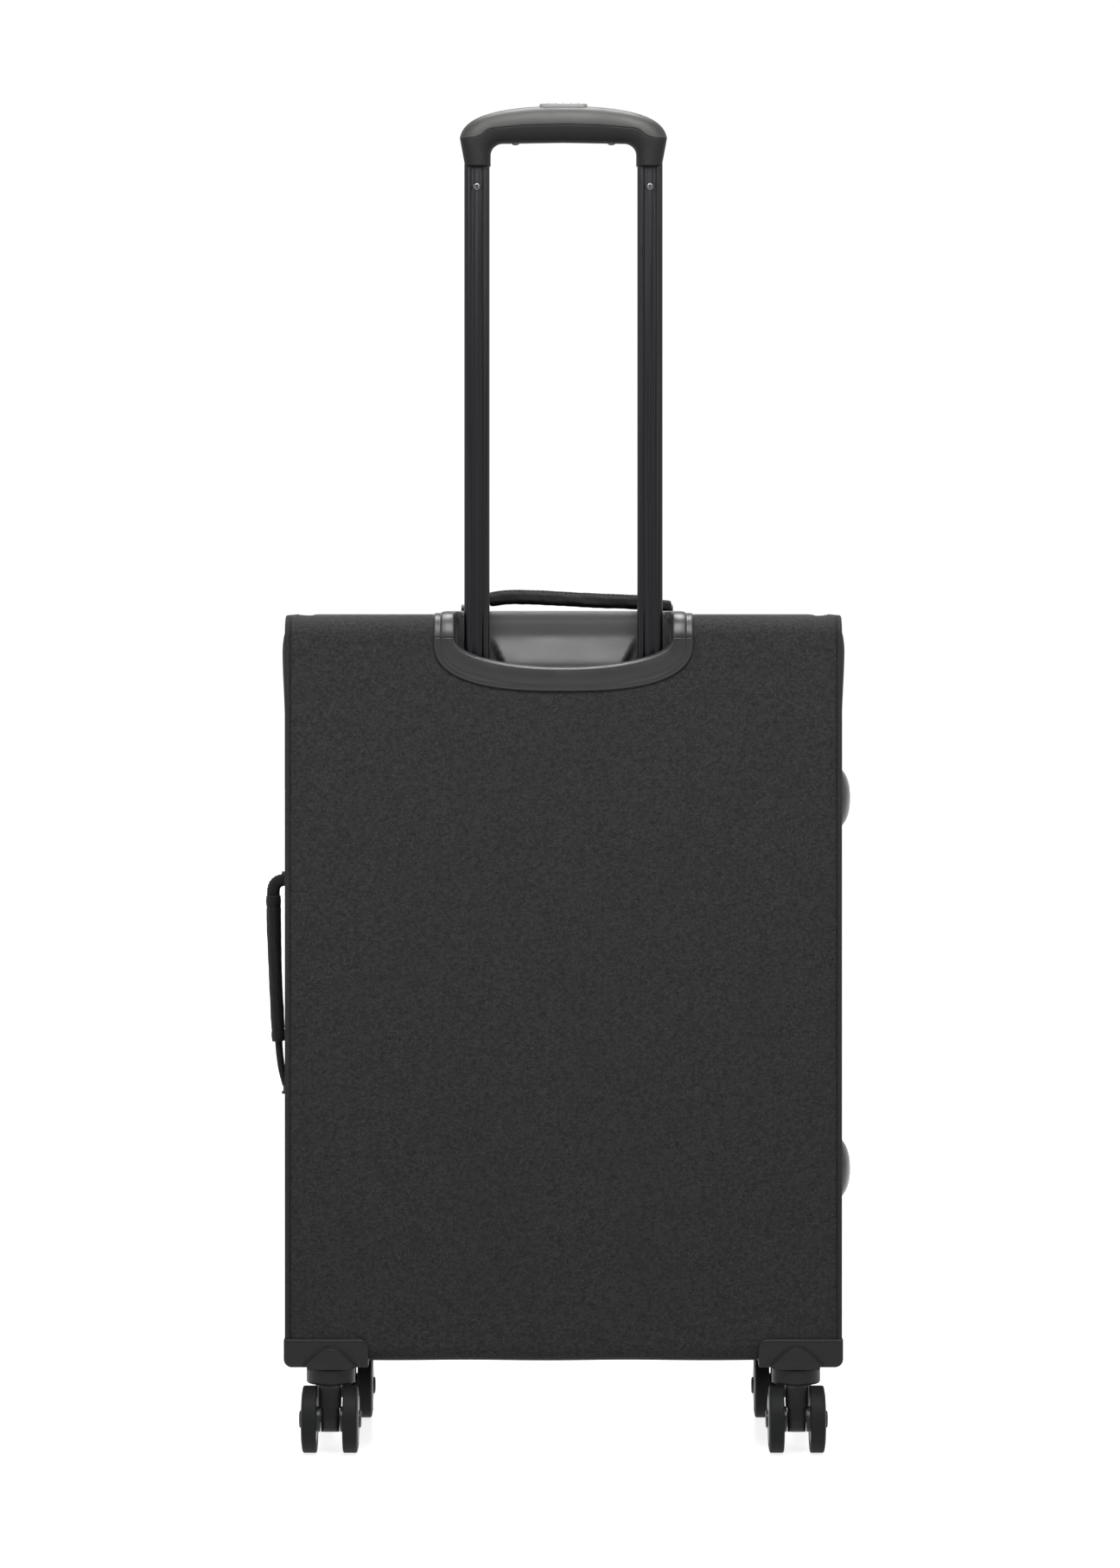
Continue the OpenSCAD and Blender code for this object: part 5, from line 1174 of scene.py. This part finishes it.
CAD_FINISH = {
    BOARD: ("back_board",),
    INNER_PLASTIC: ("bottom_tray", "tube_bracket", "lock_blocks"),
    TRIM_PLASTIC: ("handle_anchors",),
    STEEL: ("frame_hoop", "outer_tubes", "release_rods", "return_springs", "lock_pin_left", "lock_pin_right", "kingpins"),
    DARK_STEEL: tuple(f"axle_{name}" for name in CASTERS),
    ZIP_METAL: (
        "main_slider_upper", "main_puller_upper", "main_slider_lower", "main_puller_lower",
        "lower_pocket_slider", "lower_pocket_puller", "upper_pocket_slider", "upper_pocket_puller",
    ),
}
for finish, names in CAD_FINISH.items():
    for name in names:
        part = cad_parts[name]
        if not part.material_slots:
            part.data.materials.append(finish)
        for held in part.material_slots:
            held.material = finish

# ---------- stage ----------

FRAME_TALL = 1.2353
EYE_Z, AIM_X, AIM_Z = 0.68, -0.0027, 0.5276
DISTANCE = 4.2

floor_mesh = bpy.data.meshes.new("floor")
floor_mesh.from_pydata([(-14, -14, 0), (14, -14, 0), (14, 14, 0), (-14, 14, 0)], [], [(0, 1, 2, 3)])
floor = bpy.data.objects.new("floor", floor_mesh)
bpy.context.scene.collection.objects.link(floor)
GREY = (0.3, 0.3, 0.3)
glow = {"Specular_IOR_Level": 0.3, "Emission_Strength": 0.82, "Emission_Color": (1, 1, 1, 1)}
pale, tree, bsdf = shader("pale_floor", GREY, 0.3, **glow)
tinted(tree, bsdf, object_noise(tree, 3.0), GREY, 1 / 30)
floor_mesh.materials.append(pale)

world = bpy.data.worlds.new("studio")
bpy.context.scene.world = world
world.use_nodes = True
sky = world.node_tree
toward = node(sky, "ShaderNodeSeparateXYZ", Vector=node(sky, "ShaderNodeTexCoord").outputs["Generated"])
SMOOTH = {"interpolation_type": "SMOOTHSTEP"}
# Dimmer before the object than beside and behind it, and dimmer overhead than at the horizon
front, above = (
    node(sky, "ShaderNodeMapRange", SMOOTH, Value=toward.outputs[k], From_Min=a, From_Max=b, To_Min=c, To_Max=d)
    for k, a, b, c, d in ((1, -0.82, -0.15, 0.2, 1.05), (2, 0.3, 0.8, 1.0, 0.55))
)
sky.links.new(sums(sky, "MULTIPLY", front.outputs[0], above.outputs[0]), sky.nodes["Background"].inputs[1])
sky.nodes["Background"].inputs[0].default_value = (1, 1, 1, 1)


def soft_light(name, power, size, place_at, aim):
    """A square area light turned to face a point."""
    data = bpy.data.lights.new(name, "AREA")
    data.energy, data.size = power, size
    lamp = bpy.data.objects.new(name, data)
    bpy.context.scene.collection.objects.link(lamp)
    lamp.location = place_at
    lamp.rotation_mode = "QUATERNION"
    lamp.rotation_quaternion = (Vector(aim) - Vector(place_at)).to_track_quat("-Z", "Y")


soft_light("top_box", 34, 0.9, (0.0, -1.0, 1.7), (0, 0, 0.7))
soft_light("rear_box", 55, 1.0, (0.0, 0.5, 2.6), (0, 0, 0.6))
for name, x in (("left_box", -2.4), ("right_box", 2.4)):
    soft_light(name, 13, 0.5, (x, -1.6, 1.9), (0, 0, 0.7))

camera_data = bpy.data.cameras.new("camera")
camera = bpy.data.objects.new("camera", camera_data)
bpy.context.scene.collection.objects.link(camera)
bpy.context.scene.camera = camera
camera_data.sensor_width = 36
camera_data.lens = 36 * DISTANCE / FRAME_TALL
camera_data.shift_y = (AIM_Z - EYE_Z) / FRAME_TALL
camera_data.shift_x = AIM_X / FRAME_TALL
camera_data.clip_end = 50
camera.location = (0.0, BACK * MM - DISTANCE, EYE_Z)
camera.rotation_euler = (QUARTER, 0, 0)
bpy.context.scene.view_settings.view_transform = "Standard"
